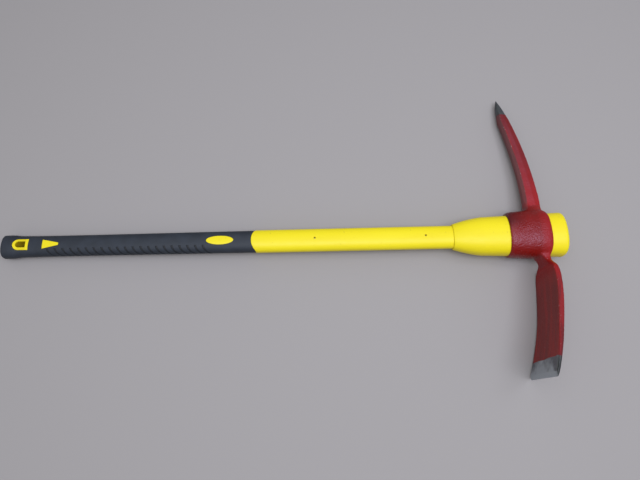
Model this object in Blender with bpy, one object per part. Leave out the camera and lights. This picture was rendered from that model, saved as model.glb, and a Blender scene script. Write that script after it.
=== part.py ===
"""A pick mattock: a one-piece forged head jammed on a long handle of glass fibre, plastic and rubber.

The tool is modelled along +X from the butt to the head end, with the pick towards +Y and the blade
towards -Y. At the end the whole tool is laid down the way it rests on a floor.
"""

import math

import bmesh
import bpy
from mathutils import Matrix, Vector

# General, in metres
FIT = 0.0003
RING_POINTS = 36
DRILL_SIDES = 12
SOFT_POWER = 2.4

# Handle length and its glass fibre core, which starts past the hang hole
HANDLE_LENGTH = 0.917
CORE_WIDTH = 0.0250
CORE_THICKNESS = 0.0150
CORE_PAST_EYELET = 0.0129
CORE_RECESS = 0.0005

# Bare shaft of the plastic jacket, with two small witness holes near its ends
SHAFT_WIDTH_AT_GRIP = 0.0377
SHAFT_WIDTH_AT_SLEEVE = 0.0383
SHAFT_THICKNESS = 0.0260
SHOULDER_ROUND = 0.0012
WITNESS_HOLE_RADIUS = 0.0017
WITNESS_PAST_GRIP = 0.1042
WITNESS_BEFORE_SLEEVE = 0.0453

# Rubber grip
GRIP_LENGTH = 0.4058
GRIP_SCALLOP = 0.0075
GRIP_WALL = 0.0022
BUTT_WALL = 0.0050
BUTT_ROUND = 0.0028
FLARE_WIDTH = 0.0386
FLARE_THICKNESS = 0.0286
FLARE_END = 0.0290
WAIST_WIDTH = 0.0342
WAIST_THICKNESS = 0.0250
WAIST_AT = 0.0930
GRIP_END_WIDTH = 0.0362
GRIP_END_THICKNESS = 0.0252

# Slanted grooves on the blade's side of the grip
GROOVE_START = 0.0856
GROOVE_STOP_BEFORE_END = 0.0600
GROOVE_PITCH = 0.01266
GROOVE_WIDTH = 0.0030
GROOVE_DEPTH = 0.0011
GROOVE_SLANT = math.radians(41)
PLAIN_BAND_WIDTH = 0.0146

# Plastic pads that stand through windows in the rubber
PAD_PROUD = 0.0002
PAD_ROOT = 0.0006
EYELET_AT = 0.0317
EYELET_LENGTH = 0.0248
EYELET_WIDTH = 0.0186
HANG_HOLE_LENGTH = 0.0160
HANG_HOLE_WIDTH = 0.0104
ARROW_AT = 0.0800
ARROW_LENGTH = 0.0260
ARROW_WIDTH = 0.0154
ARROW_TIP_WIDTH = 0.0040
OVAL_BEFORE_GRIP_END = 0.0504
OVAL_LENGTH = 0.0442
OVAL_WIDTH = 0.0148

# Flared sleeve at the head end
SLEEVE_LENGTH = 0.1812
SLEEVE_SOCKET = 0.0270
SLEEVE_LIP = 0.0015
RAMP_LENGTH = 0.0470
RAMP_BULGE = 0.48
TAPER_START_WIDTH = 0.0634
TAPER_END_WIDTH = 0.0736
TAPER_START_THICKNESS = 0.0486
TAPER_END_THICKNESS = 0.0552
SLEEVE_END_ROUND = 0.0060

# Eye of the head, measured from the head end of the handle
EYE_SETBACK = 0.0280
EYE_LENGTH = 0.0656
EYE_SHIFT = 0.0013
EYE_WALL_LOW = 0.0038
EYE_WALL_HIGH = 0.0054
EYE_RIM_LAND = 0.0012
EYE_LOW_BEVEL_LENGTH = 0.0070
EYE_HIGH_BEVEL_LENGTH = 0.0105

# Pick arm; its reach is from the handle's middle line to the point
PICK_ROOT_INSIDE_EYE = 0.0014
PICK_ROOT_DEPTH = 0.0220
PICK_ROOT_RUN = 0.0180
PICK_REACH = 0.2594
PICK_BACK_SETBACK = 0.0009
PICK_LEAN = math.radians(1.5)
PICK_BEND_RADIUS = 0.650
PICK_ROOT_WIDTH = 0.0264
PICK_ROOT_THICKNESS = 0.0215
PICK_NECK_WIDTH = 0.0190
PICK_NECK_THICKNESS = 0.0180
PICK_POINT_LENGTH = 0.0440
PICK_POINT_DROP = 0.0003
PICK_BACK_CHAMFER = 0.0110
PICK_INNER_CHAMFER = 0.0034
PICK_INNER_DROP = 0.0060

# Adze blade; its reach is from the handle's middle line to the cutting edge
BLADE_ROOT_OUTSIDE_EYE = 0.0036
BLADE_ROOT_DEPTH = 0.0220
BLADE_SHOULDER_RUN = 0.0190
BLADE_STRAIGHT_START = 0.0600
BLADE_STRAIGHT_END = 0.0950
BLADE_SPREAD_RUN = 0.1400
BLADE_REACH = 0.2290
BLADE_BACK_SETBACK = 0.0029
BLADE_LEAN = math.radians(-1.0)
BLADE_BEND_RADIUS = 0.472
BLADE_ROOT_WIDTH = 0.0340
BLADE_SHOULDER_WIDTH = 0.0720
BLADE_MID_WIDTH = 0.0828
BLADE_EDGE_WIDTH = 0.1000
BLADE_ROOT_THICKNESS = 0.0106
BLADE_THICKNESS = 0.0088
BLADE_EDGE_THICKNESS = 0.0044
BLADE_EDGE_OFFSET = 0.46
BLADE_BEVEL_LENGTH = 0.0080
BLADE_CUT_THICKNESS = 0.0009
BLADE_LOW_CORNER_ROUND = 0.0080
BLADE_HIGH_CORNER_ROUND = 0.0020
BLADE_SIDE_ROUND = 0.0014

# Densities for the balance of the tool, in kilograms a cubic metre
STEEL = 7850
GLASS_FIBRE = 1900
POLYPROPYLENE = 1100
SOFT_RUBBER = 1200

# Places that follow from the sizes above
CORE_START = EYELET_AT + EYELET_LENGTH / 2 + CORE_PAST_EYELET
OVAL_AT = GRIP_LENGTH - OVAL_BEFORE_GRIP_END
SLEEVE_START = HANDLE_LENGTH - SLEEVE_LENGTH
TAPER_START = SLEEVE_START + RAMP_LENGTH
JACKET_END = SLEEVE_START + SLEEVE_SOCKET
WITNESS_HOLES_AT = (GRIP_LENGTH + WITNESS_PAST_GRIP, SLEEVE_START - WITNESS_BEFORE_SLEEVE)
EYE_HIGH = HANDLE_LENGTH - EYE_SETBACK
EYE_LOW = EYE_HIGH - EYE_LENGTH


def clear_scene():
    """Take away what a new file holds."""
    for thing in list(bpy.data.objects):
        bpy.data.objects.remove(thing, do_unlink=True)


def new_collection(name, hidden=False):
    """Make a collection in the scene for finished pieces or for cutters."""
    collection = bpy.data.collections.new(name)
    bpy.context.scene.collection.children.link(collection)
    collection.hide_render = hidden
    return collection


def linear(hex_colour):
    """Turn an sRGB hex colour into the linear values that a shader takes."""
    channels = [int(hex_colour[i : i + 2], 16) / 255 for i in (0, 2, 4)]
    return [c / 12.92 if c <= 0.04045 else ((c + 0.055) / 1.055) ** 2.4 for c in channels]


def make_material(name, hex_colour, roughness, metallic=0.0):
    """Make a plain Principled material."""
    material = bpy.data.materials.new(name)
    material.use_nodes = True
    shader = material.node_tree.nodes["Principled BSDF"]
    shader.inputs["Base Color"].default_value = (*linear(hex_colour), 1.0)
    shader.inputs["Roughness"].default_value = roughness
    shader.inputs["Metallic"].default_value = metallic
    material.diffuse_color = (*linear(hex_colour), 1.0)
    return material


def mix(a, b, t):
    """Straight-line blend from a to b."""
    return a + (b - a) * t


def through(stations, place):
    """Read a value, or a row of values, from stations of (place, value...) joined by straight lines."""
    if place <= stations[0][0]:
        return stations[0][1:]
    for low, high in zip(stations, stations[1:]):
        if place <= high[0]:
            t = (place - low[0]) / (high[0] - low[0])
            return tuple(mix(a, b, t) for a, b in zip(low[1:], high[1:]))
    return stations[-1][1:]


def signed_power(value, power):
    """Raise a value to a power and keep its sign."""
    return math.copysign(abs(value) ** power, value)


def oval(place, half_width, half_thickness, scallop=0.0):
    """Points round a soft oval section of the handle; a scallop moves its two sides along +X."""
    points = []
    for i in range(RING_POINTS):
        angle = 2 * math.pi * i / RING_POINTS
        y = half_width * signed_power(math.cos(angle), 2 / SOFT_POWER)
        z = half_thickness * signed_power(math.sin(angle), 2 / SOFT_POWER)
        points.append(Vector((place + scallop * math.cos(angle) ** 2, y, z)))
    return points


def skin(name, rings, collection, closed=False):
    """Join a row of rings into one solid: capped at both ends, or closed on itself as a ring."""
    mesh = bpy.data.meshes.new(name)
    work = bmesh.new()
    loops = [[work.verts.new(point) for point in ring] for ring in rings]
    pairs = list(zip(loops, loops[1:]))
    if closed:
        pairs.append((loops[-1], loops[0]))
    for first, second in pairs:
        for i in range(len(first)):
            j = (i + 1) % len(first)
            work.faces.new((first[i], first[j], second[j], second[i]))
    if not closed:
        work.faces.new(loops[0])
        work.faces.new(loops[-1])
    bmesh.ops.recalc_face_normals(work, faces=work.faces)
    work.to_mesh(mesh)
    work.free()
    thing = bpy.data.objects.new(name, mesh)
    collection.objects.link(thing)
    return thing


def prism(name, outline, low, high, collection):
    """Extrude a flat outline in X and Y along Z, from low to high."""
    mesh = bpy.data.meshes.new(name)
    work = bmesh.new()
    base = work.faces.new([work.verts.new((x, y, low)) for x, y in outline])
    top = bmesh.ops.extrude_face_region(work, geom=[base])
    risen = [item for item in top["geom"] if isinstance(item, bmesh.types.BMVert)]
    bmesh.ops.translate(work, verts=risen, vec=(0, 0, high - low))
    bmesh.ops.recalc_face_normals(work, faces=work.faces)
    work.to_mesh(mesh)
    work.free()
    thing = bpy.data.objects.new(name, mesh)
    collection.objects.link(thing)
    return thing


def drill(name, place, radius, length, collection):
    """A round cutter straight through the handle at a place along it."""
    mesh = bpy.data.meshes.new(name)
    work = bmesh.new()
    bmesh.ops.create_cone(
        work,
        cap_ends=True,
        segments=DRILL_SIDES,
        radius1=radius,
        radius2=radius,
        depth=length,
        matrix=Matrix.Translation((place, 0, 0)),
    )
    work.to_mesh(mesh)
    work.free()
    thing = bpy.data.objects.new(name, mesh)
    collection.objects.link(thing)
    return thing


def as_cutter(thing):
    """Mark an object that only shapes others."""
    thing.hide_render = True
    thing.display_type = "WIRE"
    return thing


def combine(thing, other, operation):
    """Add a live Boolean of another object."""
    modifier = thing.modifiers.new(f"{operation.lower()} {other.name}", "BOOLEAN")
    modifier.operation = operation
    modifier.object = other
    modifier.solver = "EXACT"


def finish(thing, material, angle=32):
    """Dress a piece and shade its round faces smooth."""
    thing.data.materials.append(material)
    thing.data.shade_smooth()
    thing.data.set_sharp_from_angle(angle=math.radians(angle))
    return thing


# Sections of the handle


def grip_half(place):
    """Half width and half thickness of the rubber grip's outside."""
    stations = (
        (0.0, FLARE_WIDTH / 2, FLARE_THICKNESS / 2),
        (FLARE_END / 2, FLARE_WIDTH / 2, FLARE_THICKNESS / 2),
        (FLARE_END, mix(WAIST_WIDTH, FLARE_WIDTH, 0.3) / 2, mix(WAIST_THICKNESS, FLARE_THICKNESS, 0.3) / 2),
        (WAIST_AT, WAIST_WIDTH / 2, WAIST_THICKNESS / 2),
        (GRIP_LENGTH, GRIP_END_WIDTH / 2, GRIP_END_THICKNESS / 2),
    )
    return through(stations, place)


def shaft_half(place):
    """Half width and half thickness of the bare jacket between grip and sleeve."""
    stations = (
        (GRIP_LENGTH, SHAFT_WIDTH_AT_GRIP / 2, SHAFT_THICKNESS / 2),
        (SLEEVE_START, SHAFT_WIDTH_AT_SLEEVE / 2, SHAFT_THICKNESS / 2),
    )
    return through(stations, place)


def sleeve_half(place):
    """Half width and half thickness of the sleeve: a bulged ramp, then the taper that holds the head."""
    if place < TAPER_START:
        t = (place - SLEEVE_START) / RAMP_LENGTH
        rise = t + RAMP_BULGE * t * (1 - t)
        mouth = [half + FIT + SLEEVE_LIP for half in shaft_half(SLEEVE_START)]
        return (
            mix(mouth[0], TAPER_START_WIDTH / 2, rise),
            mix(mouth[1], TAPER_START_THICKNESS / 2, rise),
        )
    t = (place - TAPER_START) / (HANDLE_LENGTH - TAPER_START)
    return (
        mix(TAPER_START_WIDTH, TAPER_END_WIDTH, t) / 2,
        mix(TAPER_START_THICKNESS, TAPER_END_THICKNESS, t) / 2,
    )


def inset(half, depth):
    """Draw a section in by a depth all round."""
    return half[0] - depth, half[1] - depth


def rounding(radius_along, drop, steps=3):
    """Steps of a rounded edge: how far along the piece from the end, and how far in from its side."""
    for i in range(steps + 1):
        turn = math.pi / 2 * i / steps
        yield radius_along * (1 - math.sin(turn)), drop * (1 - math.cos(turn))


def grip_stations():
    """Places where the grip's outside has a section, after its rounded butt."""
    plain = (FLARE_END / 2, FLARE_END, WAIST_AT)
    spread = [mix(WAIST_AT, GRIP_LENGTH, i / 5) for i in range(1, 5)]
    return [*plain, *spread]


# Pieces of the handle


def make_core(parts):
    """Pultruded rod: one section all along."""
    half = (CORE_WIDTH / 2, CORE_THICKNESS / 2)
    ends = (CORE_START, HANDLE_LENGTH - CORE_RECESS)
    return skin("fiberglass_core", [oval(place, *half) for place in ends], parts)


def pad_outlines(grow=0.0):
    """Outlines in X and Y of the eyelet, the arrow and the oval pad, grown all round by a clearance."""
    radius = EYELET_WIDTH / 2 + grow
    flat = EYELET_AT + EYELET_LENGTH / 2 + grow
    return {
        "eyelet": d_outline(EYELET_AT - EYELET_LENGTH / 2 - grow, flat, radius),
        "arrow": arrow_outline(grow),
        "oval_pad": oval_outline(grow),
    }


def d_outline(round_end, flat_end, radius, steps=10):
    """A letter D lying along X, round towards the butt and flat towards the head."""
    centre = round_end + radius
    arc = [math.pi / 2 + math.pi * i / steps for i in range(steps + 1)]
    points = [(centre + radius * math.cos(a), radius * math.sin(a)) for a in arc]
    return [*points, (flat_end, -radius), (flat_end, radius)]


def arrow_outline(grow):
    """A blunt wedge that points at the head."""
    low = ARROW_AT - ARROW_LENGTH / 2 - grow
    high = ARROW_AT + ARROW_LENGTH / 2 + grow
    wide = ARROW_WIDTH / 2 + grow
    narrow = ARROW_TIP_WIDTH / 2 + grow
    return [(low, -wide), (high, -narrow), (high, narrow), (low, wide)]


def oval_outline(grow, steps=24):
    """The long oval badge place, left bare."""
    length = OVAL_LENGTH / 2 + grow
    width = OVAL_WIDTH / 2 + grow
    turns = [2 * math.pi * i / steps for i in range(steps)]
    return [(OVAL_AT + length * math.cos(a), width * math.sin(a)) for a in turns]


def make_jacket(parts, cutters):
    """Plastic jacket: blind bore for the core, shoulder at the grip's end, pads and witness holes."""
    under = GRIP_WALL + FIT
    start = BUTT_WALL + FIT
    rings = [oval(start, *inset(grip_half(start), under))]
    rings += [oval(place, *inset(grip_half(place), under)) for place in grip_stations()]
    low_shoulder = inset(grip_half(GRIP_LENGTH), under)
    shoulder = GRIP_LENGTH + FIT
    rings.append(oval(shoulder, *low_shoulder, scallop=GRIP_SCALLOP))
    for along, drop in reversed(list(rounding(SHOULDER_ROUND, SHOULDER_ROUND))):
        half = inset(shaft_half(shoulder), drop)
        rings.append(oval(shoulder + along, *half, scallop=GRIP_SCALLOP))
    rings.append(oval(GRIP_LENGTH + 4 * GRIP_SCALLOP, *shaft_half(GRIP_LENGTH + 4 * GRIP_SCALLOP)))
    rings.append(oval(mix(GRIP_LENGTH, SLEEVE_START, 0.5), *shaft_half(mix(GRIP_LENGTH, SLEEVE_START, 0.5))))
    rings.append(oval(SLEEVE_START, *shaft_half(SLEEVE_START)))
    rings.append(oval(JACKET_END, *shaft_half(JACKET_END)))
    bore = (CORE_WIDTH / 2 + FIT, CORE_THICKNESS / 2 + FIT)
    rings.append(oval(JACKET_END, *bore))
    rings.append(oval(CORE_START - FIT, *bore))
    jacket = skin("handle_jacket", rings, parts)

    limit = grip_envelope("pad_limit", PAD_PROUD, cutters)
    for name, outline in pad_outlines().items():
        for side in (1, -1):
            root = CORE_THICKNESS / 2 + FIT + PAD_ROOT
            low, high = sorted((side * root, side * FLARE_THICKNESS))
            pad = as_cutter(prism(f"{name}_{side}", outline, low, high, cutters))
            combine(pad, limit, "INTERSECT")
            combine(jacket, pad, "UNION")
    hole = d_outline(
        EYELET_AT - HANG_HOLE_LENGTH / 2, EYELET_AT + HANG_HOLE_LENGTH / 2, HANG_HOLE_WIDTH / 2
    )
    hang_hole = prism("hang_hole", hole, -FLARE_THICKNESS, FLARE_THICKNESS, cutters)
    combine(jacket, as_cutter(hang_hole), "DIFFERENCE")
    for i, place in enumerate(WITNESS_HOLES_AT):
        hole = drill(f"witness_{i}", place, WITNESS_HOLE_RADIUS, 2 * SHAFT_THICKNESS, cutters)
        combine(jacket, as_cutter(hole), "DIFFERENCE")
    return jacket


def grip_envelope(name, grow, cutters):
    """A solid of the grip's outside, grown or shrunk a little, that limits pads and grooves."""
    places = [0.0, *grip_stations(), GRIP_LENGTH]
    rings = [oval(place, *inset(grip_half(place), -grow)) for place in places]
    return as_cutter(skin(name, rings, cutters))


def groove_bars(cutters):
    """Slanted bars along the blade's side of the grip, at one pitch."""
    mesh = bpy.data.meshes.new("groove_bars")
    work = bmesh.new()
    stop = GRIP_LENGTH - GROOVE_STOP_BEFORE_END
    count = int((stop - GROOVE_START) / GROOVE_PITCH) + 1
    size = Vector((GROOVE_WIDTH, FLARE_WIDTH, 2 * FLARE_THICKNESS))
    y = -(PLAIN_BAND_WIDTH / 2 + FLARE_WIDTH / 2)
    slant = Matrix.Rotation(-GROOVE_SLANT, 4, "Y")
    for i in range(count):
        place = Matrix.Translation((GROOVE_START + i * GROOVE_PITCH, y, 0))
        bmesh.ops.create_cube(work, size=1.0, matrix=place @ slant @ Matrix.Diagonal((*size, 1)))
    work.to_mesh(mesh)
    work.free()
    bars = bpy.data.objects.new("groove_bars", mesh)
    cutters.objects.link(bars)
    return as_cutter(bars)


def make_grip(parts, cutters):
    """Rubber grip: closed and rounded at the butt, scalloped at its end, windows and grooves on one side."""
    rings = []
    for along, drop in reversed(list(rounding(BUTT_ROUND, BUTT_ROUND))):
        rings.append(oval(along, *inset(grip_half(0.0), drop)))
    rings += [oval(place, *grip_half(place)) for place in grip_stations()]
    rings.append(oval(GRIP_LENGTH, *grip_half(GRIP_LENGTH), scallop=GRIP_SCALLOP))
    rings.append(oval(GRIP_LENGTH, *inset(grip_half(GRIP_LENGTH), GRIP_WALL), scallop=GRIP_SCALLOP))
    rings += [oval(place, *inset(grip_half(place), GRIP_WALL)) for place in reversed(grip_stations())]
    rings.append(oval(BUTT_WALL, *inset(grip_half(BUTT_WALL), GRIP_WALL)))
    grip = skin("rubber_grip", rings, parts)
    for name, outline in pad_outlines(FIT).items():
        window = prism(f"{name}_window", outline, -FLARE_THICKNESS, FLARE_THICKNESS, cutters)
        combine(grip, as_cutter(window), "DIFFERENCE")
    bars = groove_bars(cutters)
    combine(bars, grip_envelope("groove_floor", -GROOVE_DEPTH, cutters), "DIFFERENCE")
    combine(grip, bars, "DIFFERENCE")
    return grip


def make_sleeve(parts):
    """Flared sleeve: socket over the jacket, bore for the core, ramp, taper and rounded end."""
    rings = []
    steps = 6
    for i in range(steps + 1):
        place = SLEEVE_START + RAMP_LENGTH * i / steps
        rings.append(oval(place, *sleeve_half(place)))
    last = HANDLE_LENGTH - SLEEVE_END_ROUND
    rings.append(oval(mix(TAPER_START, last, 0.5), *sleeve_half(mix(TAPER_START, last, 0.5))))
    for along, drop in rounding(SLEEVE_END_ROUND, SLEEVE_END_ROUND, 4):
        rings.append(oval(HANDLE_LENGTH - along, *inset(sleeve_half(HANDLE_LENGTH - along), drop)))
    bore = (CORE_WIDTH / 2 + FIT, CORE_THICKNESS / 2 + FIT)
    socket_end = JACKET_END + FIT
    rings.append(oval(HANDLE_LENGTH, *bore))
    rings.append(oval(socket_end, *bore))
    rings.append(oval(socket_end, *inset(shaft_half(socket_end), -FIT)))
    rings.append(oval(SLEEVE_START, *inset(shaft_half(SLEEVE_START), -FIT)))
    return skin("head_end_sleeve", rings, parts, closed=True)


# The forged head


def eye_half(place):
    """Half width and half thickness of the eye's outside: the sleeve's taper, a clearance and a wall."""
    wall = mix(EYE_WALL_LOW, EYE_WALL_HIGH, (place - EYE_LOW) / EYE_LENGTH)
    return inset(sleeve_half(place), -FIT - wall)


def rim_section(place, share):
    """Section of a bevelled rim: a share of the way in from the eye's outside to its narrow land.

    The outside stands a little towards the pick, and the land stays on the middle of the bore.
    """
    land = inset(sleeve_half(place), -FIT - EYE_RIM_LAND)
    ring = oval(place, *(mix(outer, inner, share) for outer, inner in zip(eye_half(place), land)))
    return [point + Vector((0, mix(EYE_SHIFT, 0.0, share), 0)) for point in ring]


def eye_body(parts):
    """Solid body of the eye, before its bore."""
    rings = [
        rim_section(EYE_LOW + along, share)
        for along, share in reversed(list(rounding(EYE_LOW_BEVEL_LENGTH, 1.0)))
    ]
    middle = EYE_LOW + EYE_LENGTH / 2
    rings.append(rim_section(middle, 0.0))
    rings += [rim_section(EYE_HIGH - along, share) for along, share in rounding(EYE_HIGH_BEVEL_LENGTH, 1.0)]
    return skin("mattock_head", rings, parts)


def eye_bore(cutters):
    """The tapered hole through the eye: the sleeve's own taper and a clearance."""
    over = 0.010
    rings = []
    for place in (EYE_LOW - over, EYE_LOW, EYE_HIGH, EYE_HIGH + over):
        rings.append(oval(place, *inset(sleeve_half(place), -FIT)))
    return as_cutter(skin("eye_bore", rings, cutters))


def arm_frame(side, back_x, base, lean, radius, run):
    """Place and directions at a run along an arm that curves towards the butt.

    The arm starts square to the handle, apart from its lean, at the distance base from the handle's
    middle line. Gives the point, the direction along the arm and the direction towards its back.
    """
    if run < 0:
        turn = lean
        point = Vector((back_x - run * math.sin(lean), side * (base + run * math.cos(lean)), 0))
    else:
        turn = lean + run / radius
        point = Vector(
            (
                back_x - radius * (math.cos(lean) - math.cos(turn)),
                side * (base + radius * (math.sin(turn) - math.sin(lean))),
                0,
            )
        )
    along = Vector((-math.sin(turn), side * math.cos(turn), 0))
    back = Vector((math.cos(turn), side * math.sin(turn), 0))
    return point, along, back


def run_for_reach(base, lean, radius, reach):
    """Run along an arm at which it stands a given distance from the handle's middle line."""
    return radius * (math.asin((reach - base) / radius + math.sin(lean)) - lean)


def pick_section(frame, width, thickness):
    """Eight-sided section of the pick: a broad chamfer at its back, a steep one at its inner side."""
    point, _, back = frame
    chamfer = min(PICK_BACK_CHAMFER, 0.45 * width)
    drop = 0.22 * thickness
    inner = min(PICK_INNER_CHAMFER, 0.25 * width)
    fall = min(PICK_INNER_DROP, 0.32 * thickness)
    half = thickness / 2
    outline = [(0, half - drop), (-chamfer, half), (inner - width, half), (-width, half - fall)]
    outline += [(across, -up) for across, up in reversed(outline)]
    return [point + back * across + Vector((0, 0, up)) for across, up in outline]


def pick_arm(cutters):
    """The pick: flared where it leaves the eye, tapering along its curve to a ground point."""
    base = eye_half(EYE_HIGH)[0] - PICK_ROOT_INSIDE_EYE
    end = run_for_reach(base, PICK_LEAN, PICK_BEND_RADIUS, PICK_REACH)
    neck = end - PICK_POINT_LENGTH
    stations = [
        (-PICK_ROOT_DEPTH, 1.30 * PICK_ROOT_WIDTH, 2.1 * PICK_ROOT_THICKNESS),
        (-0.27 * PICK_ROOT_DEPTH, 1.22 * PICK_ROOT_WIDTH, 1.8 * PICK_ROOT_THICKNESS),
        (0.11 * PICK_ROOT_RUN, 1.10 * PICK_ROOT_WIDTH, 1.35 * PICK_ROOT_THICKNESS),
        (0.50 * PICK_ROOT_RUN, 1.03 * PICK_ROOT_WIDTH, 1.1 * PICK_ROOT_THICKNESS),
        (PICK_ROOT_RUN, PICK_ROOT_WIDTH, PICK_ROOT_THICKNESS),
        (neck, PICK_NECK_WIDTH, PICK_NECK_THICKNESS),
    ]
    point = ((0.14, 0.91), (0.30, 0.79), (0.46, 0.68), (0.62, 0.56), (0.78, 0.38), (0.90, 0.21), (1.0, 0.05))
    stations += [
        (mix(neck, end, t), PICK_NECK_WIDTH * share, PICK_NECK_THICKNESS * share) for t, share in point
    ]
    runs = [station[0] for station in stations]
    runs += [mix(PICK_ROOT_RUN, neck, i / 6) for i in range(1, 6)]
    rings = []
    back_x = EYE_HIGH - PICK_BACK_SETBACK
    for run in sorted(runs):
        width, thickness = through(stations, run)
        point, along, back = arm_frame(1, back_x, base, PICK_LEAN, PICK_BEND_RADIUS, run)
        drawn_in = max(0.0, run - neck) / PICK_POINT_LENGTH * PICK_POINT_DROP
        rings.append(pick_section((point - back * drawn_in, along, back), width, thickness))
    return as_cutter(skin("pick_arm", rings, cutters))


def blade_section(frame, low, high, thickness):
    """Section of the blade: a flat bar with rounded sides, from its back towards its face.

    The two sides stand at the distances low and high below and above the middle plane.
    """
    point, _, back = frame
    edge = min(BLADE_SIDE_ROUND, 0.3 * thickness)
    outline = [
        (-edge, high),
        (0, high - edge),
        (0, edge - low),
        (-edge, -low),
        (edge - thickness, -low),
        (-thickness, edge - low),
        (-thickness, high - edge),
        (edge - thickness, high),
    ]
    return [point + back * across + Vector((0, 0, up)) for across, up in outline]


def blade_arm(cutters):
    """The adze blade: thick at the eye, broad shoulders, widening to a bevelled cutting edge."""
    lean = BLADE_LEAN
    base = eye_half(EYE_HIGH)[0] + BLADE_ROOT_OUTSIDE_EYE
    end = run_for_reach(base, lean, BLADE_BEND_RADIUS, BLADE_REACH)
    bevel = end - BLADE_BEVEL_LENGTH
    root = BLADE_ROOT_THICKNESS
    depth = BLADE_ROOT_DEPTH
    rise = BLADE_SHOULDER_RUN
    broaden = (BLADE_ROOT_WIDTH, BLADE_SHOULDER_WIDTH)
    thin = (BLADE_ROOT_THICKNESS, BLADE_THICKNESS)
    stations = [
        (-depth, 0.50 * BLADE_ROOT_WIDTH, 1.9 * root),
        (-0.41 * depth, 0.50 * BLADE_ROOT_WIDTH, 1.6 * root),
        (-0.18 * depth, 0.50 * BLADE_ROOT_WIDTH, 1.2 * root),
        (0.0, 0.52 * BLADE_ROOT_WIDTH, root),
        (0.26 * rise, mix(*broaden, 0.28) / 2, mix(*thin, 0.50)),
        (0.53 * rise, mix(*broaden, 0.66) / 2, mix(*thin, 0.75)),
        (0.74 * rise, mix(*broaden, 0.90) / 2, mix(*thin, 0.90)),
        (rise, BLADE_SHOULDER_WIDTH / 2, BLADE_THICKNESS),
        (1.8 * rise, mix(BLADE_SHOULDER_WIDTH, BLADE_MID_WIDTH, 0.7) / 2, BLADE_THICKNESS),
        (BLADE_STRAIGHT_START, BLADE_MID_WIDTH / 2, BLADE_THICKNESS),
        (BLADE_STRAIGHT_END, BLADE_MID_WIDTH / 2, 0.94 * BLADE_THICKNESS),
        (BLADE_SPREAD_RUN, mix(BLADE_MID_WIDTH, BLADE_EDGE_WIDTH, 0.45) / 2, 0.76 * BLADE_THICKNESS),
        (bevel, mix(BLADE_MID_WIDTH, BLADE_EDGE_WIDTH, 0.92) / 2, BLADE_EDGE_THICKNESS),
        (end, BLADE_EDGE_WIDTH / 2, BLADE_CUT_THICKNESS),
    ]
    places = sorted(station[0] for station in stations)
    runs = set(places) | {mix(low, high, 0.5) for low, high in zip(places, places[1:]) if low >= 1.8 * rise}
    for radius in (BLADE_LOW_CORNER_ROUND, BLADE_HIGH_CORNER_ROUND):
        runs |= {end - along for along, _ in rounding(radius, radius)}
    rings = []
    back_x = EYE_HIGH - BLADE_BACK_SETBACK
    for run in sorted(runs):
        half, thickness = through(stations, run)
        low = half - corner_cut(end - run, BLADE_LOW_CORNER_ROUND)
        high = half - corner_cut(end - run, BLADE_HIGH_CORNER_ROUND)
        point, along, back = arm_frame(-1, back_x, base, lean, BLADE_BEND_RADIUS, run)
        drawn_in = BLADE_EDGE_OFFSET * max(0.0, BLADE_THICKNESS - thickness)
        rings.append(blade_section((point - back * drawn_in, along, back), low, high, thickness))
    return as_cutter(skin("blade_arm", rings, cutters))


def corner_cut(left, radius):
    """How far a rounded corner draws a side in, at a distance left before the end."""
    past = max(0.0, radius - left)
    return radius - math.sqrt(max(0.0, radius**2 - past**2))


def make_head(parts, cutters):
    """Eye, pick and blade joined into one forging, and the bore cut through it."""
    head = eye_body(parts)
    combine(head, pick_arm(cutters), "UNION")
    combine(head, blade_arm(cutters), "UNION")
    combine(head, eye_bore(cutters), "DIFFERENCE")
    return head


# Laying the tool down


def evaluated_mesh(thing):
    """A copy of an object's mesh with its modifiers, in the tool's own frame."""
    graph = bpy.context.evaluated_depsgraph_get()
    work = bmesh.new()
    work.from_mesh(thing.evaluated_get(graph).to_mesh())
    bmesh.ops.triangulate(work, faces=work.faces)
    return work


def balance_point(pieces):
    """Centre of mass of the tool, from each piece's volume and density."""
    total = 0.0
    moment = Vector()
    for thing, density in pieces:
        work = evaluated_mesh(thing)
        for face in work.faces:
            a, b, c = (vert.co for vert in face.verts)
            weight = density * a.dot(b.cross(c)) / 6
            total += weight
            moment += (a + b + c) / 4 * weight
        work.free()
    return moment / total


def resting_pose(pieces):
    """Turn and lift that lay the tool on the three points that it rests on under its own weight."""
    balance = balance_point(pieces)
    shell = bmesh.new()
    for thing, _ in pieces:
        work = evaluated_mesh(thing)
        for vert in work.verts:
            shell.verts.new(vert.co)
        work.free()
    bmesh.ops.remove_doubles(shell, verts=shell.verts, dist=0.00005)
    hull = bmesh.ops.convex_hull(shell, input=shell.verts)
    faces = [item for item in hull["geom"] if isinstance(item, bmesh.types.BMFace)]
    bmesh.ops.recalc_face_normals(shell, faces=faces)
    best = None
    for face in faces:
        face.normal_update()
        normal = face.normal.copy()
        if normal.z > -0.5:
            continue
        corners = [vert.co.copy() for vert in face.verts]
        foot = balance - normal * (balance - corners[0]).dot(normal)
        sides = [(b - a).cross(foot - a).dot(normal) for a, b in zip(corners, corners[1:] + corners[:1])]
        inside = min(sides)
        if best is None or inside > best[0]:
            best = (inside, normal, corners[0])
    _, normal, corner = best
    turn = normal.rotation_difference(Vector((0, 0, -1))).to_matrix().to_4x4()
    level = turn @ corner
    shell.free()
    return Matrix.Translation((0, 0, -level.z)) @ turn


def centre_on_floor(pieces, pose):
    """Shift the posed tool so that the middle of its box stands over the origin."""
    points = []
    for thing, _ in pieces:
        work = evaluated_mesh(thing)
        points += [pose @ vert.co for vert in work.verts]
        work.free()
    middle = [(min(p[i] for p in points) + max(p[i] for p in points)) / 2 for i in (0, 1)]
    return Matrix.Translation((-middle[0], -middle[1], 0)) @ pose


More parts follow.
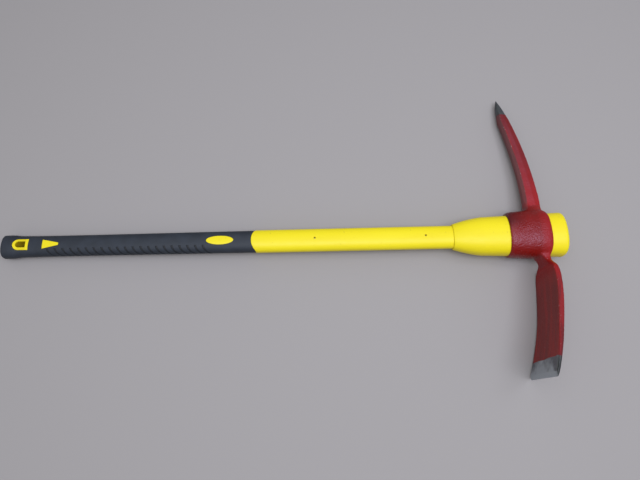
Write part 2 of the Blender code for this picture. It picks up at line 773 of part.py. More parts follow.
def main():
    """Build the pieces, join them under one empty and lay the tool down."""
    clear_scene()
    parts = new_collection("pick_mattock")
    cutters = new_collection("cutters", hidden=True)
    red_paint = make_material("red_paint_on_forging", "9A1F22", 0.38)
    yellow = make_material("yellow_polypropylene", "F0E234", 0.42)
    rubber = make_material("black_soft_rubber", "2E343C", 0.62)
    fibre = make_material("amber_glass_fibre", "8C7A4A", 0.5)
    pieces = [
        (finish(make_head(parts, cutters), red_paint), STEEL),
        (finish(make_sleeve(parts), yellow), POLYPROPYLENE),
        (finish(make_jacket(parts, cutters), yellow), POLYPROPYLENE),
        (finish(make_core(parts), fibre), GLASS_FIBRE),
        (finish(make_grip(parts, cutters), rubber), SOFT_RUBBER),
    ]
    tool = bpy.data.objects.new("pick_mattock_root", None)
    parts.objects.link(tool)
    bpy.context.view_layer.update()
    pose = centre_on_floor(pieces, resting_pose(pieces))
    for thing in [*parts.objects, *cutters.objects]:
        if thing is not tool:
            thing.parent = tool
    tool.matrix_world = pose
    bpy.context.view_layer.update()


if __name__ == "__main__":
    main()
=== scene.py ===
"""A pick mattock lying on a pale floor, as it lies in its photograph.

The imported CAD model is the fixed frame. Each sub-assembly here is a class that holds its sizes, builds
its mesh in the tool's own frame and dresses it in its finish. That frame runs along +X from the butt
to the head end, with the pick towards +Y and the blade towards -Y; each mesh is laid down at the end.
"""

from __future__ import annotations

import logging
import math
import sys
from bisect import bisect_right
from collections.abc import Callable, Iterable, Mapping, Sequence
from dataclasses import dataclass, replace
from enum import Enum
from functools import partial

import bmesh
import bpy
import numpy as np
from mathutils import Euler, Matrix, Vector, noise
from mathutils.bvhtree import BVHTree

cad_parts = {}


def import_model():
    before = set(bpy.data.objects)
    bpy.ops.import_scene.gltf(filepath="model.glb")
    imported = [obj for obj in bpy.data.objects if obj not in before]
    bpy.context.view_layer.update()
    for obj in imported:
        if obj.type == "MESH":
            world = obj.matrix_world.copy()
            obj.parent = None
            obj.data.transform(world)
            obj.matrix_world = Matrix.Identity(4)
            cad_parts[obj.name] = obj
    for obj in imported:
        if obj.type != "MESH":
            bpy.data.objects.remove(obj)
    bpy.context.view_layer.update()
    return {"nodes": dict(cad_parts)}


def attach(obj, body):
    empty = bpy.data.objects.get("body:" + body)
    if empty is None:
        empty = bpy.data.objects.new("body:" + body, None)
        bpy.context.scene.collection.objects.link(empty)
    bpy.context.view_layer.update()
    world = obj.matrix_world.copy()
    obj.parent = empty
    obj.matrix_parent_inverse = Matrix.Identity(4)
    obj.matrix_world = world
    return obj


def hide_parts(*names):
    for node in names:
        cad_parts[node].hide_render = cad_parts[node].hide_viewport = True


log = logging.getLogger("pick_mattock")

Half = tuple[float, float]
Span = tuple[float, float]
Triple = tuple[float, float, float]
Station = tuple[float, ...]
Row = tuple[float, Half, float]
Outline = list[tuple[float, float]]
Thing = bpy.types.Object
Tree = bpy.types.NodeTree
Material = bpy.types.Material
Socket = bpy.types.NodeSocket
Sockets = bpy.types.bpy_prop_collection
Add = Callable[..., Sockets]

# How the tool lies: its own frame turned and moved onto the floor
REST_TURN = (-0.090145, -0.020628, 0.000930)
REST_PLACE = (-0.4585066, -0.0146783, 0.0144045)
REST = Matrix.LocRotScale(Vector(REST_PLACE), Euler(REST_TURN), None)

# Power of the handle's soft oval sections, where 2 is an ellipse and more is squarer
SQUARENESS = 2.4
NO_SIZE: Half = (0.0, 0.0)
WHOLE: Span = (0.0, 1.0)

# Where the blend between an arm and the eye ends, and how far out its middle lies, in its own width
BLEND_END = 1.35
BLEND_SHIFT = 0.1

# Kinds of node that come often
MATH = "ShaderNodeMath"
VECTOR_MATH = "ShaderNodeVectorMath"
VECTOR = "ShaderNodeCombineXYZ"
PARTS = "ShaderNodeSeparateXYZ"
ATTRIBUTE = "ShaderNodeAttribute"
NOISE = "ShaderNodeTexNoise"
RANGE = "ShaderNodeMapRange"
MIX = "ShaderNodeMix"
BUMP = "ShaderNodeBump"

# Places of a Mix node's sockets
FACTOR, VALUE_A, VALUE_B, COLOUR_A, COLOUR_B, COLOUR_OUT = 0, 2, 3, 6, 7, 2


class Cut(Enum):
    """What a Boolean does with the second body."""

    ADD = "UNION"
    TAKE = "DIFFERENCE"


class Side(Enum):
    """The side of the handle that an arm of the head stands on."""

    PICK = 1
    BLADE = -1


# Small helpers


def mix(a: float, b: float, t: float) -> float:
    """Straight-line blend from a to b."""
    return a + (b - a) * t


def between(a: Half, b: Half, t: float) -> Half:
    """Straight-line blend of two sections, or of two places in a plane."""
    return mix(a[0], b[0], t), mix(a[1], b[1], t)


def inset(half: Half, depth: float) -> Half:
    """Draw a section in by a depth all round."""
    return half[0] - depth, half[1] - depth


def linear(hex_colour: str) -> tuple[float, float, float, float]:
    """Turn an sRGB hex colour into the linear values that a shader takes.

    Args:
        hex_colour: six hex digits, without a hash

    Returns:
        Red, green, blue and an alpha of one.
    """
    channels = [int(hex_colour[i : i + 2], 16) / 255 for i in (0, 2, 4)]
    red, green, blue = (c / 12.92 if c <= 0.04045 else ((c + 0.055) / 1.055) ** 2.4 for c in channels)
    return red, green, blue, 1.0


def per_metre(millimetres: float) -> float:
    """Texture scale that gives features of about this size."""
    return 1000.0 / millimetres


def rounding(along: float, drop: float, steps: int = 8) -> list[Half]:
    """Walk round a rounded edge.

    Args:
        along: its radius along the piece
        drop: its radius across the piece
        steps: number of steps in its quarter turn

    Returns:
        For each step, how far from the end, and how far in from the side.
    """
    turns = [math.pi / 2 * i / steps for i in range(steps + 1)]
    return [(along * (1 - math.sin(turn)), drop * (1 - math.cos(turn))) for turn in turns]


def circle(steps: int, turn: float = 2 * math.pi, start: float = 0.0) -> list[float]:
    """Even angles from a start, a turn divided into steps, without its end."""
    return [start + turn * i / steps for i in range(steps)]


def through(stations: Sequence[Station], place: float) -> Station:
    """Read a row of values from stations on a smooth curve that never overshoots them.

    Args:
        stations: rows of (place, value, ...) in rising order
        place: where to read

    Returns:
        The values at that place, without the place itself.
    """
    places = [row[0] for row in stations]
    if place <= places[0]:
        return stations[0][1:]
    if place >= places[-1]:
        return stations[-1][1:]
    here = bisect_right(places, place) - 1
    span = places[here + 1] - places[here]
    t = (place - places[here]) / span
    values = []
    for column in range(1, len(stations[0])):
        row = [station[column] for station in stations]
        slopes = [(b - a) / (q - p) for a, b, p, q in zip(row, row[1:], places, places[1:])]
        tangents = [slopes[0]]
        for before, after in zip(slopes, slopes[1:]):
            tangents.append(2 * before * after / (before + after) if before * after > 0 else 0.0)
        tangents.append(slopes[-1])
        start, end = row[here], row[here + 1]
        bend = (t**3 - 2 * t**2 + t) * tangents[here] + (t**3 - t**2) * tangents[here + 1]
        values.append(start + (end - start) * (3 * t**2 - 2 * t**3) + span * bend)
    return tuple(values)


def spread(low: float, high: float, step: float) -> list[float]:
    """Even places from low to high, both included, about a step apart."""
    count = max(1, round((high - low) / step))
    return [mix(low, high, i / count) for i in range(count + 1)]


def ramp(values: np.ndarray, start: float, length: float) -> np.ndarray:
    """Rise from 0 at a start to 1 over a length."""
    return np.clip((values - start) / length, 0.0, 1.0)


def fade(values: np.ndarray, start: float, length: float) -> np.ndarray:
    """Fall from 1 at a start to 0 over a length."""
    return np.clip(1 - (values - start) / length, 0.0, 1.0)


def facing(component: np.ndarray, gain: float) -> np.ndarray:
    """How far, from 0 to 1, faces turn the way that this part of their normal points."""
    return np.clip(component * gain - 1, 0.0, 1.0)


def add_node(
    tree: Tree,
    kind: str,
    feeds: Mapping[str | int, object] | None = None,
    **settings: object,
) -> Sockets:
    """Add one node to a tree, with its settings and what feeds it.

    Args:
        tree: a shader or geometry node tree
        kind: the node's type
        feeds: for an input's name or place, a plain value or the socket that feeds it
        settings: properties of the node itself

    Returns:
        The new node's outputs.
    """
    node = tree.nodes.new(kind)
    for name, value in settings.items():
        setattr(node, name, value)
    for key, value in (feeds or {}).items():
        if isinstance(value, Socket):
            tree.links.new(value, node.inputs[key])
        else:
            node.inputs[key].default_value = value
    return node.outputs


def limits(given: Span, result: Span = WHOLE) -> dict[str, float]:
    """Name the ends of the range that a value comes in, and of the one that it goes out in."""
    return {"From Min": given[0], "From Max": given[1], "To Min": result[0], "To Max": result[1]}


# Mesh helpers


def link_mesh(name: str, work: bmesh.types.BMesh) -> Thing:
    """Turn a finished bmesh into an object in the scene."""
    mesh = bpy.data.meshes.new(name)
    work.to_mesh(mesh)
    work.free()
    thing = bpy.data.objects.new(name, mesh)
    bpy.context.scene.collection.objects.link(thing)
    return thing


def loft(name: str, rings: Sequence[Sequence[Vector]], closed: bool = False) -> Thing:
    """Join a row of rings into one body.

    Args:
        name: name of the new object
        rings: rings with the same number of points
        closed: join the last ring to the first, instead of capping both

    Returns:
        The new object, with its faces pointing outwards.
    """
    work = bmesh.new()
    loops = [[work.verts.new(point) for point in ring] for ring in rings]
    pairs = list(zip(loops, loops[1:]))
    if closed:
        pairs.append((loops[-1], loops[0]))
    for first, second in pairs:
        for i in range(len(first)):
            j = (i + 1) % len(first)
            work.faces.new((first[i], first[j], second[j], second[i]))
    if not closed:
        work.faces.new(loops[0])
        work.faces.new(loops[-1])
    bmesh.ops.recalc_face_normals(work, faces=work.faces)
    return link_mesh(name, work)


def settle(thing: Thing) -> Thing:
    """Replace an object's mesh by what its modifiers make of it, and drop them."""
    bpy.context.view_layer.update()
    graph = bpy.context.evaluated_depsgraph_get()
    mesh = bpy.data.meshes.new_from_object(thing.evaluated_get(graph))
    thing.modifiers.clear()
    thing.data = mesh
    mesh.name = thing.name
    return thing


def combine(thing: Thing, other: Thing, cut: Cut) -> Thing:
    """Apply a Boolean of another body and take that body away.

    Args:
        thing: the body that is kept
        other: the body that shapes it
        cut: whether it is added or taken off

    Returns:
        The first body.
    """
    modifier = thing.modifiers.new(cut.name.lower(), "BOOLEAN")
    modifier.operation = cut.value
    modifier.solver = "EXACT"
    modifier.object = other
    settle(thing)
    bpy.data.objects.remove(other)
    return thing


def prism(name: str, outline: Outline, reach: float) -> Thing:
    """Extrude a flat outline in X and Y along Z, by a reach both ways."""
    return loft(name, [[Vector((x, y, z)) for x, y in outline] for z in (-reach, reach)])


def lay_down(thing: Thing, node: str, material: Material) -> None:
    """Dress a piece, lay it on the floor and let it stand for its CAD node.

    Args:
        thing: a finished piece in the tool's own frame
        node: the CAD node that it replaces
        material: its finish
    """
    thing.data.materials.clear()
    thing.data.materials.append(material)
    thing.data.transform(REST)
    thing.data.update()
    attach(thing, "root")
    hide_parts(node)
    log.info("%s: %d faces in %s", thing.name, len(thing.data.polygons), material.name)


def shade(thing: Thing, angle: float = 35) -> Thing:
    """Shade a piece smooth, apart from edges sharper than an angle in degrees."""
    thing.data.shade_smooth()
    thing.data.set_sharp_from_angle(angle=math.radians(angle))
    return thing


def save_attribute(thing: Thing, name: str, kind: str, values: np.ndarray) -> None:
    """Store one value or vector for each point of a piece, for its material to read."""
    attribute = thing.data.attributes.new(name, kind, "POINT")
    attribute.data.foreach_set("value" if kind == "FLOAT" else "vector", values.astype(np.float32).ravel())


def points_of(thing: Thing, value: str = "co") -> np.ndarray:
    """Places, or another vector, of all points of a piece, one row each."""
    rows = np.empty(len(thing.data.vertices) * 3, np.float32)
    thing.data.vertices.foreach_get(value, rows)
    return rows.reshape(-1, 3)


def edges_of(thing: Thing) -> np.ndarray:
    """The two points of each edge of a piece, one row each."""
    rows = np.empty(len(thing.data.edges) * 2, np.int32)
    thing.data.edges.foreach_get("vertices", rows)
    return rows.reshape(-1, 2)


# Geometry node helpers


def begin_geometry(name: str, kinds: Mapping[str, str]) -> tuple[Tree, Sockets]:
    """Start a geometry node tree.

    Args:
        name: the tree's name
        kinds: for each input's name, its kind of socket

    Returns:
        The tree and its inputs' sockets.
    """
    tree = bpy.data.node_groups.new(name, "GeometryNodeTree")
    for label, kind in kinds.items():
        tree.interface.new_socket(label, in_out="INPUT", socket_type=f"NodeSocket{kind}")
    tree.interface.new_socket("Geometry", in_out="OUTPUT", socket_type="NodeSocketGeometry")
    return tree, add_node(tree, "NodeGroupInput")


def end_geometry(tree: Tree, geometry: Socket, finish: Socket) -> Tree:
    """End a tree with real geometry in a material."""
    whole = add_node(tree, "GeometryNodeRealizeInstances", {"Geometry": geometry})[0]
    dressed = add_node(tree, "GeometryNodeSetMaterial", {"Geometry": whole, "Material": finish})[0]
    add_node(tree, "NodeGroupOutput", {0: dressed})
    return tree


def grow(thing: Thing, tree: Tree, values: Mapping[str, object]) -> None:
    """Run a geometry node tree on an object, with values for its inputs, and keep what it makes."""
    modifier = thing.modifiers.new(tree.name, "NODES")
    modifier.node_group = tree
    inputs = {s.name: s.identifier for s in tree.interface.items_tree if s.in_out == "INPUT"}
    for name, value in values.items():
        modifier[inputs[name]] = value
    settle(thing)


# The rule that the handle's pieces follow


def capped(rows: Sequence[Row]) -> list[Row]:
    """Close both ends of a row of stations with a station of no size."""
    return [(rows[0][0], NO_SIZE, 0.0), *rows, (rows[-1][0], NO_SIZE, 0.0)]


def sections(places: Iterable[float], half: Callable[[float], Half], depth: float = 0.0) -> list[Row]:
    """A station at each place, its section drawn in by a depth, without a scallop."""
    return [(x, inset(half(x), depth), 0.0) for x in places]


class OvalSkin:
    """Geometry nodes that skin a row of stations with soft oval sections.

    The stations are the points of a mesh, each in the middle of its section. Each holds a vector:
    half width, half thickness and scallop, which is how far the section's two sides lie ahead of
    its top.
    """

    attribute = "half"
    points_round = 96
    weld = 2e-6

    def __init__(self) -> None:
        """Build the tree: a grid of stations by points round, bent so that each row is one section."""
        kinds = {"Geometry": "Geometry", "Points Round": "Int", "Power": "Float", "Finish": "Material"}
        self.tree, given = begin_geometry("oval_skin", kinds)
        add = partial(add_node, self.tree)
        stations, around = given["Geometry"], given["Points Round"]
        row_length = add("FunctionNodeIntegerMath", {0: around, 1: 1}, operation="ADD")[0]
        count = add("GeometryNodeAttributeDomainSize", {0: stations}, component="MESH")[0]
        grid = add("GeometryNodeMeshGrid", {"Vertices X": count, "Vertices Y": row_length})[0]
        index = add("GeometryNodeInputIndex")[0]
        row = add("FunctionNodeIntegerMath", {0: index, 1: row_length}, operation="DIVIDE_FLOOR")[0]
        column = add("FunctionNodeIntegerMath", {0: index, 1: row_length}, operation="MODULO")[0]
        share = add(MATH, {0: column, 1: around}, operation="DIVIDE")[0]
        angle = add(MATH, {0: share, 1: 2 * math.pi}, operation="MULTIPLY")[0]

        named = {"Name": self.attribute}
        position = add("GeometryNodeInputPosition")[0]
        half = add("GeometryNodeInputNamedAttribute", named, data_type="FLOAT_VECTOR")[0]
        split = []
        for value in (position, half):
            read = {"Geometry": stations, "Value": value, "Index": row}
            vector = add("GeometryNodeSampleIndex", read, data_type="FLOAT_VECTOR", domain="POINT")[0]
            split.append(add(PARTS, {0: vector}))
        middle, sizes = split

        exponent = add(MATH, {0: 2.0, 1: given["Power"]}, operation="DIVIDE")[0]
        cosine = add(MATH, {0: angle}, operation="COSINE")[0]
        sine = add(MATH, {0: angle}, operation="SINE")[0]
        waves = []
        for wave, size in ((cosine, sizes[0]), (sine, sizes[1])):
            sign = add(MATH, {0: wave}, operation="SIGN")[0]
            bare = add(MATH, {0: wave}, operation="ABSOLUTE")[0]
            raised = add(MATH, {0: bare, 1: exponent}, operation="POWER")[0]
            signed = add(MATH, {0: raised, 1: sign}, operation="MULTIPLY")[0]
            waves.append(add(MATH, {0: signed, 1: size}, operation="MULTIPLY")[0])
        across = add(MATH, {0: middle[1], 1: waves[0]}, operation="ADD")[0]
        squared = add(MATH, {0: cosine, 1: 2.0}, operation="POWER")[0]
        lead = add(MATH, {0: squared, 1: sizes[2]}, operation="MULTIPLY")[0]
        along = add(MATH, {0: middle[0], 1: lead}, operation="ADD")[0]
        place = add(VECTOR, {0: along, 1: across, 2: waves[1]})[0]
        bent = add("GeometryNodeSetPosition", {"Geometry": grid, "Position": place})[0]
        joined = add("GeometryNodeMergeByDistance", {"Geometry": bent, "Distance": self.weld})[0]
        end_geometry(self.tree, joined, given["Finish"])

    def piece(self, name: str, stations: Sequence[Row], aside: Sequence[float] | None = None) -> Thing:
        """Skin one row of stations.

        Args:
            name: name of the new object
            stations: rows of (place, half width and thickness, scallop); a first or last row of
                no size closes that end, and a last row equal to the first closes the row on itself
            aside: how far each section's middle stands off the handle's, towards the pick

        Returns:
            The new object with a plain mesh, faces outwards.
        """
        work = bmesh.new()
        for (place, _, _), shift in zip(stations, aside or [0.0] * len(stations)):
            work.verts.new((place, shift, 0.0))
        thing = link_mesh(name, work)
        sizes = np.array([(*half, scallop) for _, half, scallop in stations])
        save_attribute(thing, self.attribute, "FLOAT_VECTOR", sizes)
        grow(thing, self.tree, {"Points Round": self.points_round, "Power": SQUARENESS})
        work = bmesh.new()
        work.from_mesh(thing.data)
        bmesh.ops.recalc_face_normals(work, faces=work.faces)
        work.to_mesh(thing.data)
        work.free()
        return thing


@dataclass(frozen=True)
class HandleShape:
    """Sizes of the handle that more than one piece shares, in metres."""

    fit: float = 0.0003
    length: float = 0.917
    core_half: Half = (0.0125, 0.0075)
    core_start: float = 0.0570
    shaft_at_grip: Half = (0.01885, 0.0130)
    shaft_at_sleeve: Half = (0.01915, 0.0130)
    grip_length: float = 0.4058
    grip_scallop: float = 0.0075
    scallop_run: float = 0.0120
    grip_wall: float = 0.0022
    butt_wall: float = 0.0050
    flare: Half = (0.0193, 0.0143)
    flare_end: float = 0.0290
    flare_left: float = 0.3
    waist: Half = (0.0171, 0.0125)
    waist_at: float = 0.0930
    grip_end: Half = (0.0181, 0.0126)
    sleeve_length: float = 0.1812
    sleeve_lip: float = 0.0015
    socket: float = 0.0270
    ramp_length: float = 0.0470
    ramp_bulge: float = 0.48
    taper_start: Half = (0.0317, 0.0243)
    taper_end: Half = (0.0368, 0.0276)

    @property
    def sleeve_start(self) -> float:
        """Where the sleeve's mouth is."""
        return self.length - self.sleeve_length

    @property
    def past_skin(self) -> float:
        """Reach from the middle that is well outside the grip, up and down."""
        return 2 * self.flare[1]

    def grip_half(self, place: float) -> Half:
        """Half width and thickness of the grip's outside."""
        stations = (
            (0.0, *self.flare),
            (self.flare_end / 2, *self.flare),
            (self.flare_end, *between(self.waist, self.flare, self.flare_left)),
            (self.waist_at, *self.waist),
            (self.grip_length, *self.grip_end),
        )
        return through(stations, place)

    def shaft_half(self, place: float) -> Half:
        """Half width and thickness of the bare jacket."""
        stations = ((self.grip_length, *self.shaft_at_grip), (self.sleeve_start, *self.shaft_at_sleeve))
        return through(stations, place)

    def sleeve_half(self, place: float) -> Half:
        """Half width and thickness of the sleeve: a bulged ramp, then the taper that holds the head."""
        taper_from = self.sleeve_start + self.ramp_length
        if place < taper_from:
            t = (place - self.sleeve_start) / self.ramp_length
            rise = t + self.ramp_bulge * t * (1 - t)
            mouth = inset(self.shaft_half(self.sleeve_start), -self.fit - self.sleeve_lip)
            return between(mouth, self.taper_start, rise)
        return between(self.taper_start, self.taper_end, (place - taper_from) / (self.length - taper_from))

    def grip_top(self, x: float, y: float) -> float:
        """Height of the grip's outside over the middle plane at a place on it."""
        half = self.grip_half(x)
        left = max(0.0, 1 - abs(y / half[0]) ** SQUARENESS)
        return half[1] * left ** (1 / SQUARENESS)


@dataclass(frozen=True)
class Pads:
    """Outlines, in X and Y, of what shows of the jacket through the windows in the rubber."""

    eyelet_at: float = 0.0317
    eyelet: Half = (0.0124, 0.0093)
    hang_hole: Half = (0.0080, 0.0052)
    arrow_at: float = 0.0800
    arrow: Half = (0.0130, 0.0077)
    arrow_tip: float = 0.0020
    oval_at: float = 0.3554
    oval: Half = (0.0221, 0.0074)
    arc_steps: int = 26
    flat_steps: int = 8
    end_steps: int = 12
    oval_steps: int = 64

    def d_ring(self, half: Half) -> Outline:
        """A letter D, round towards the butt and flat towards the head."""
        length, radius = half
        centre = self.eyelet_at - length + radius
        flat = self.eyelet_at + length
        turns = [*circle(self.arc_steps, math.pi, math.pi / 2), 3 * math.pi / 2]
        arc = [(centre + radius * math.cos(a), radius * math.sin(a)) for a in turns]
        low = [(mix(centre, flat, i / self.flat_steps), -radius) for i in range(1, self.flat_steps + 1)]
        end = [(flat, mix(-radius, radius, i / self.end_steps)) for i in range(1, self.end_steps + 1)]
        high = [(mix(flat, centre, i / self.flat_steps), radius) for i in range(1, self.flat_steps)]
        return [*arc, *low, *end, *high]

    def arrow_ring(self, grow_by: float) -> Outline:
        """A blunt wedge that points at the head, with each side divided evenly."""
        length, wide = (size + grow_by for size in self.arrow)
        narrow = self.arrow_tip + grow_by
        low = self.arrow_at - length
        high = self.arrow_at + length
        corners = [(low, -wide), (high, -narrow), (high, narrow), (low, wide)]
        shares = [i / self.end_steps for i in range(self.end_steps)]
        pairs = zip(corners, corners[1:] + corners[:1])
        return [between(a, b, t) for a, b in pairs for t in shares]

    def oval_ring(self, grow_by: float) -> Outline:
        """The long oval badge place, left bare."""
        length, width = (size + grow_by for size in self.oval)
        return [(self.oval_at + length * math.cos(a), width * math.sin(a)) for a in circle(self.oval_steps)]

    def outer_rings(self, grow_by: float) -> dict[str, Outline]:
        """All three outlines, grown all round by a clearance."""
        return {
            "eyelet": self.d_ring(inset(self.eyelet, -grow_by)),
            "arrow": self.arrow_ring(grow_by),
            "oval_pad": self.oval_ring(grow_by),
        }


# Finishes


@dataclass(frozen=True)
class Finish:
    """What every finish has: a name, and patterns that follow the tool's own frame."""

    name: str

    def begin(self) -> tuple[Material, Add, Socket]:
        """Start a material.

        Returns:
            The material, what adds nodes to it, and the place on the tool as a vector.
        """
        material = bpy.data.materials.new(self.name)
        material.use_nodes = True
        add = partial(add_node, material.node_tree)
        unlaid = REST.inverted()
        seen = add("ShaderNodeTexCoord")["Object"]
        turned = {"Vector": seen, "Location": unlaid.translation, "Rotation": unlaid.to_euler()}
        return material, add, add("ShaderNodeMapping", turned)[0]

    @staticmethod
    def end(material: Material, **feeds: object) -> Material:
        """Feed the material's shader with sockets or plain values, underscores standing for spaces."""
        shader = material.node_tree.nodes["Principled BSDF"]
        for name, value in feeds.items():
            entry = shader.inputs[name.replace("_", " ")]
            if isinstance(value, Socket):
                material.node_tree.links.new(value, entry)
            else:
                entry.default_value = value
        return material

    @staticmethod
    def coats(add: Add, base: str | Socket, layers: Sequence[tuple[Socket, str | Socket]]) -> Socket:
        """Lay coats of colour over one another.

        Args:
            add: what adds nodes to the material
            base: the lowest colour, as hex or a socket
            layers: for each coat, how far it covers what lies below it, and its colour

        Returns:
            The colour that shows.
        """
        shown = linear(base) if isinstance(base, str) else base
        for cover, colour in layers:
            coat = linear(colour) if isinstance(colour, str) else colour
            feeds = {FACTOR: cover, COLOUR_A: shown, COLOUR_B: coat}
            shown = add(MIX, feeds, data_type="RGBA")[COLOUR_OUT]
        return shown


@dataclass(frozen=True)
class SprayedEnamelOnForging(Finish):
    """Red enamel sprayed on a scaly drop forging, with point and edge ground bare.

    Enamel over forging scale looks pebbled and glossy. It is matt along the arms, where digging has
    scoured it in long streaks, and brighter crimson at the arms' roots. On the eye's high rim, which
    faces the lamps, the brighter crimson is painted light. Soil rubbed in and painted light pale the
    blade's broad faces, dust and a painted sky sheen lie on the upward faces on the pick's side,
    painted shade and a painted floor reflection grey the pick's inner side, and a film with a painted
    highlight lies on the eye's low end. It is darker on the eye's upper back by the handle, and
    painted shade darkens the blade's narrow sides towards its edge; it chips at edges. The ground
    steel is a smudged bluish grey, scratched along the tool, and the paint ends on it in a ragged
    line. Lengths are in metres, apart from pattern sizes in millimetres.
    """

    paint: str = "76110A"
    # Brighter crimson: unworn enamel in the streaks and at the arms' roots, and painted light on the eye's
    # high rim
    unworn_and_lit: str = "98100A"
    rubbed: str = "681311"
    # Dust, with a painted pinkish sky sheen, on the upward faces on the pick's side
    dusty: str = "8C4450"
    # Paler: soil with painted light on the blade's broad faces, a film with a painted highlight at the
    # eye's low end
    scuffed_and_lit: str = "8E4A44"
    # Painted shade and painted floor reflection, greying the pick's inner side
    shade_and_reflection_grey: str = "6A5250"
    # Darker crimson on the eye's upper back, and painted shade on the blade's narrow sides
    dark_crimson: str = "400E0C"
    chip: str = "C9BDB8"
    steel: str = "B2BBBC"
    dark_steel: str = "5C605F"
    scale_dark: str = "454645"
    glint: str = "F4E2FA"
    pebble: float = 2.6
    swell: float = 14.0
    smudge: float = 30.0
    speck: float = 1.7
    raggedness: float = 0.0022
    border_blur: float = 0.0004
    gloss: Span = (0.20, 0.40)
    scoured_gloss: float = 0.68
    scoured_from: Span = (0.004, 0.020)
    steel_gloss: Span = (0.38, 0.58)
    steel_metallic: float = 0.85
    reflectance: float = 0.38
    swell_height: float = 0.0012
    pebble_height: float = 0.0010
    streaks_per_metre: Triple = (9.0, 110.0, 110.0)
    streak_range: Span = (0.42, 0.66)
    streaks_from: Span = (0.005, 0.035)
    unworn_range: Span = (0.0, 0.25)
    unworn: float = 0.55
    level_range: Span = (0.88, 1.0)
    # Across the tool and on level faces: where the dust and its painted sky sheen lie
    dust_and_sheen_from: Span = (0.030, 0.045)
    dust_and_sheen_on_level: float = 0.20
    more_on_pick: float = 2.0
    edge_chips: float = 0.13
    chip_range: Span = (0.80, 0.83)
    scratches_per_metre: Triple = (50.0, 420.0, 420.0)
    smudge_range: Span = (0.40, 0.58)
    smudge_clean: float = 0.8
    scratch_share: float = 0.35
    bevel_share: float = 0.6

    def material(self) -> Material:
        """Build the material."""
        material, add, place = self.begin()
        arm = add(ATTRIBUTE, attribute_name="arm_place")["Vector"]
        margin = add(ATTRIBUTE, attribute_name="paint_margin")["Fac"]
        # Painted light on the eye's high rim and brighter crimson at the arms' roots; the gloss there is
        # matt too
        thick = add(ATTRIBUTE, attribute_name="lit_rim_and_bright_roots")["Fac"]
        pebbles = add(NOISE, {"Vector": place, "Scale": per_metre(self.pebble), "Detail": 2.0})[0]
        swells = add(NOISE, {"Vector": place, "Scale": per_metre(self.swell), "Detail": 3.0})[0]
        painted = self.paint_colour(add, place, arm, swells)
        ground, grinding = self.steel_colour(add, place, arm)

        wander = limits(WHOLE, (-self.raggedness, self.raggedness))
        ragged = add(RANGE, {"Value": swells, **wander})[0]
        border = add(MATH, {0: margin, 1: ragged}, operation="ADD")[0]
        crossing = limits((-self.border_blur, self.border_blur), (1.0, 0.0))
        bare = add(RANGE, {"Value": border, **crossing})[0]
        colour = self.coats(add, painted, [(bare, ground)])

        sprayed = add(RANGE, {"Value": swells, **limits(WHOLE, self.gloss)})[0]
        run = add(PARTS, {0: arm})[0]
        scoured = add(RANGE, {"Value": run, **limits(self.scoured_from)})[0]
        matt = add(MATH, {0: thick, 1: scoured}, operation="MAXIMUM")[0]
        paint_gloss = add(MIX, {FACTOR: matt, VALUE_A: sprayed, VALUE_B: self.scoured_gloss})[0]
        steel_gloss = add(RANGE, {"Value": grinding, **limits(WHOLE, self.steel_gloss)})[0]
        gloss = add(MIX, {FACTOR: bare, VALUE_A: paint_gloss, VALUE_B: steel_gloss})[0]
        metal = add(MATH, {0: bare, 1: self.steel_metallic}, operation="MULTIPLY")[0]

        broad = add(BUMP, {"Height": swells, "Strength": 0.4, "Distance": self.swell_height})[0]
        height = add(MIX, {FACTOR: bare, VALUE_A: pebbles, VALUE_B: grinding})[0]
        bumps = {"Height": height, "Strength": 1.0, "Distance": self.pebble_height, "Normal": broad}
        return self.end(
            material,
            Base_Color=colour,
            Roughness=gloss,
            Metallic=metal,
            Normal=add(BUMP, bumps)[0],
            Specular_IOR_Level=self.reflectance,
            Specular_Tint=linear(self.glint),
        )

    def paint_colour(self, add: Add, place: Socket, arm: Socket, swells: Socket) -> Socket:
        """Colour of the enamel: streaked, soiled, dusty and chipped, with painted light, shade, sheen and
        reflection.

        Args:
            add: what adds nodes to the material
            place: the point on the tool
            arm: the point's place along, across and up on its arm
            swells: the forging's uneven swells

        Returns:
            The colour's socket.
        """
        names = ("edge_wear", "lit_rim_and_bright_roots", "soil_and_painted_light", "inner_side_shade_and_reflection", "back_darkening_and_side_shade")
        wear, thick, soil_and_light, grime, darkened = (add(ATTRIBUTE, attribute_name=name)["Fac"] for name in names)
        along = add(VECTOR_MATH, {0: arm, 1: self.streaks_per_metre}, operation="MULTIPLY")[0]
        lines = add(NOISE, {"Vector": along, "Scale": 1.0, "Detail": 3.0})[0]
        streaks = add(RANGE, {"Value": lines, **limits(self.streak_range)})[0]
        run = add(PARTS, {0: arm})[0]
        on_arm = add(RANGE, {"Value": run, **limits(self.streaks_from)})[0]
        streaked = add(MATH, {0: streaks, 1: on_arm}, operation="MULTIPLY")[0]
        spared = add(RANGE, {"Value": streaks, **limits(self.unworn_range, (self.unworn, 0.0))})[0]
        unworn = add(MATH, {0: spared, 1: on_arm}, operation="MULTIPLY")[0]

        # Dust with a painted sky sheen on faces that point up, more on the pick's side
        normal = add("ShaderNodeNewGeometry")["Normal"]
        upward = add(PARTS, {0: normal})[2]
        sideways = add(PARTS, {0: place})[1]
        level = add(RANGE, {"Value": upward, **limits(self.level_range, (0.0, self.dust_and_sheen_on_level))})[0]
        on_pick = add(RANGE, {"Value": sideways, **limits(self.dust_and_sheen_from, (0.0, self.more_on_pick))})[0]
        upward_on_pick = add(MATH, {0: level, 1: on_pick}, operation="MULTIPLY")[0]
        dust_and_sky_sheen = add(MATH, {0: upward_on_pick, 1: swells}, operation="MULTIPLY")[0]

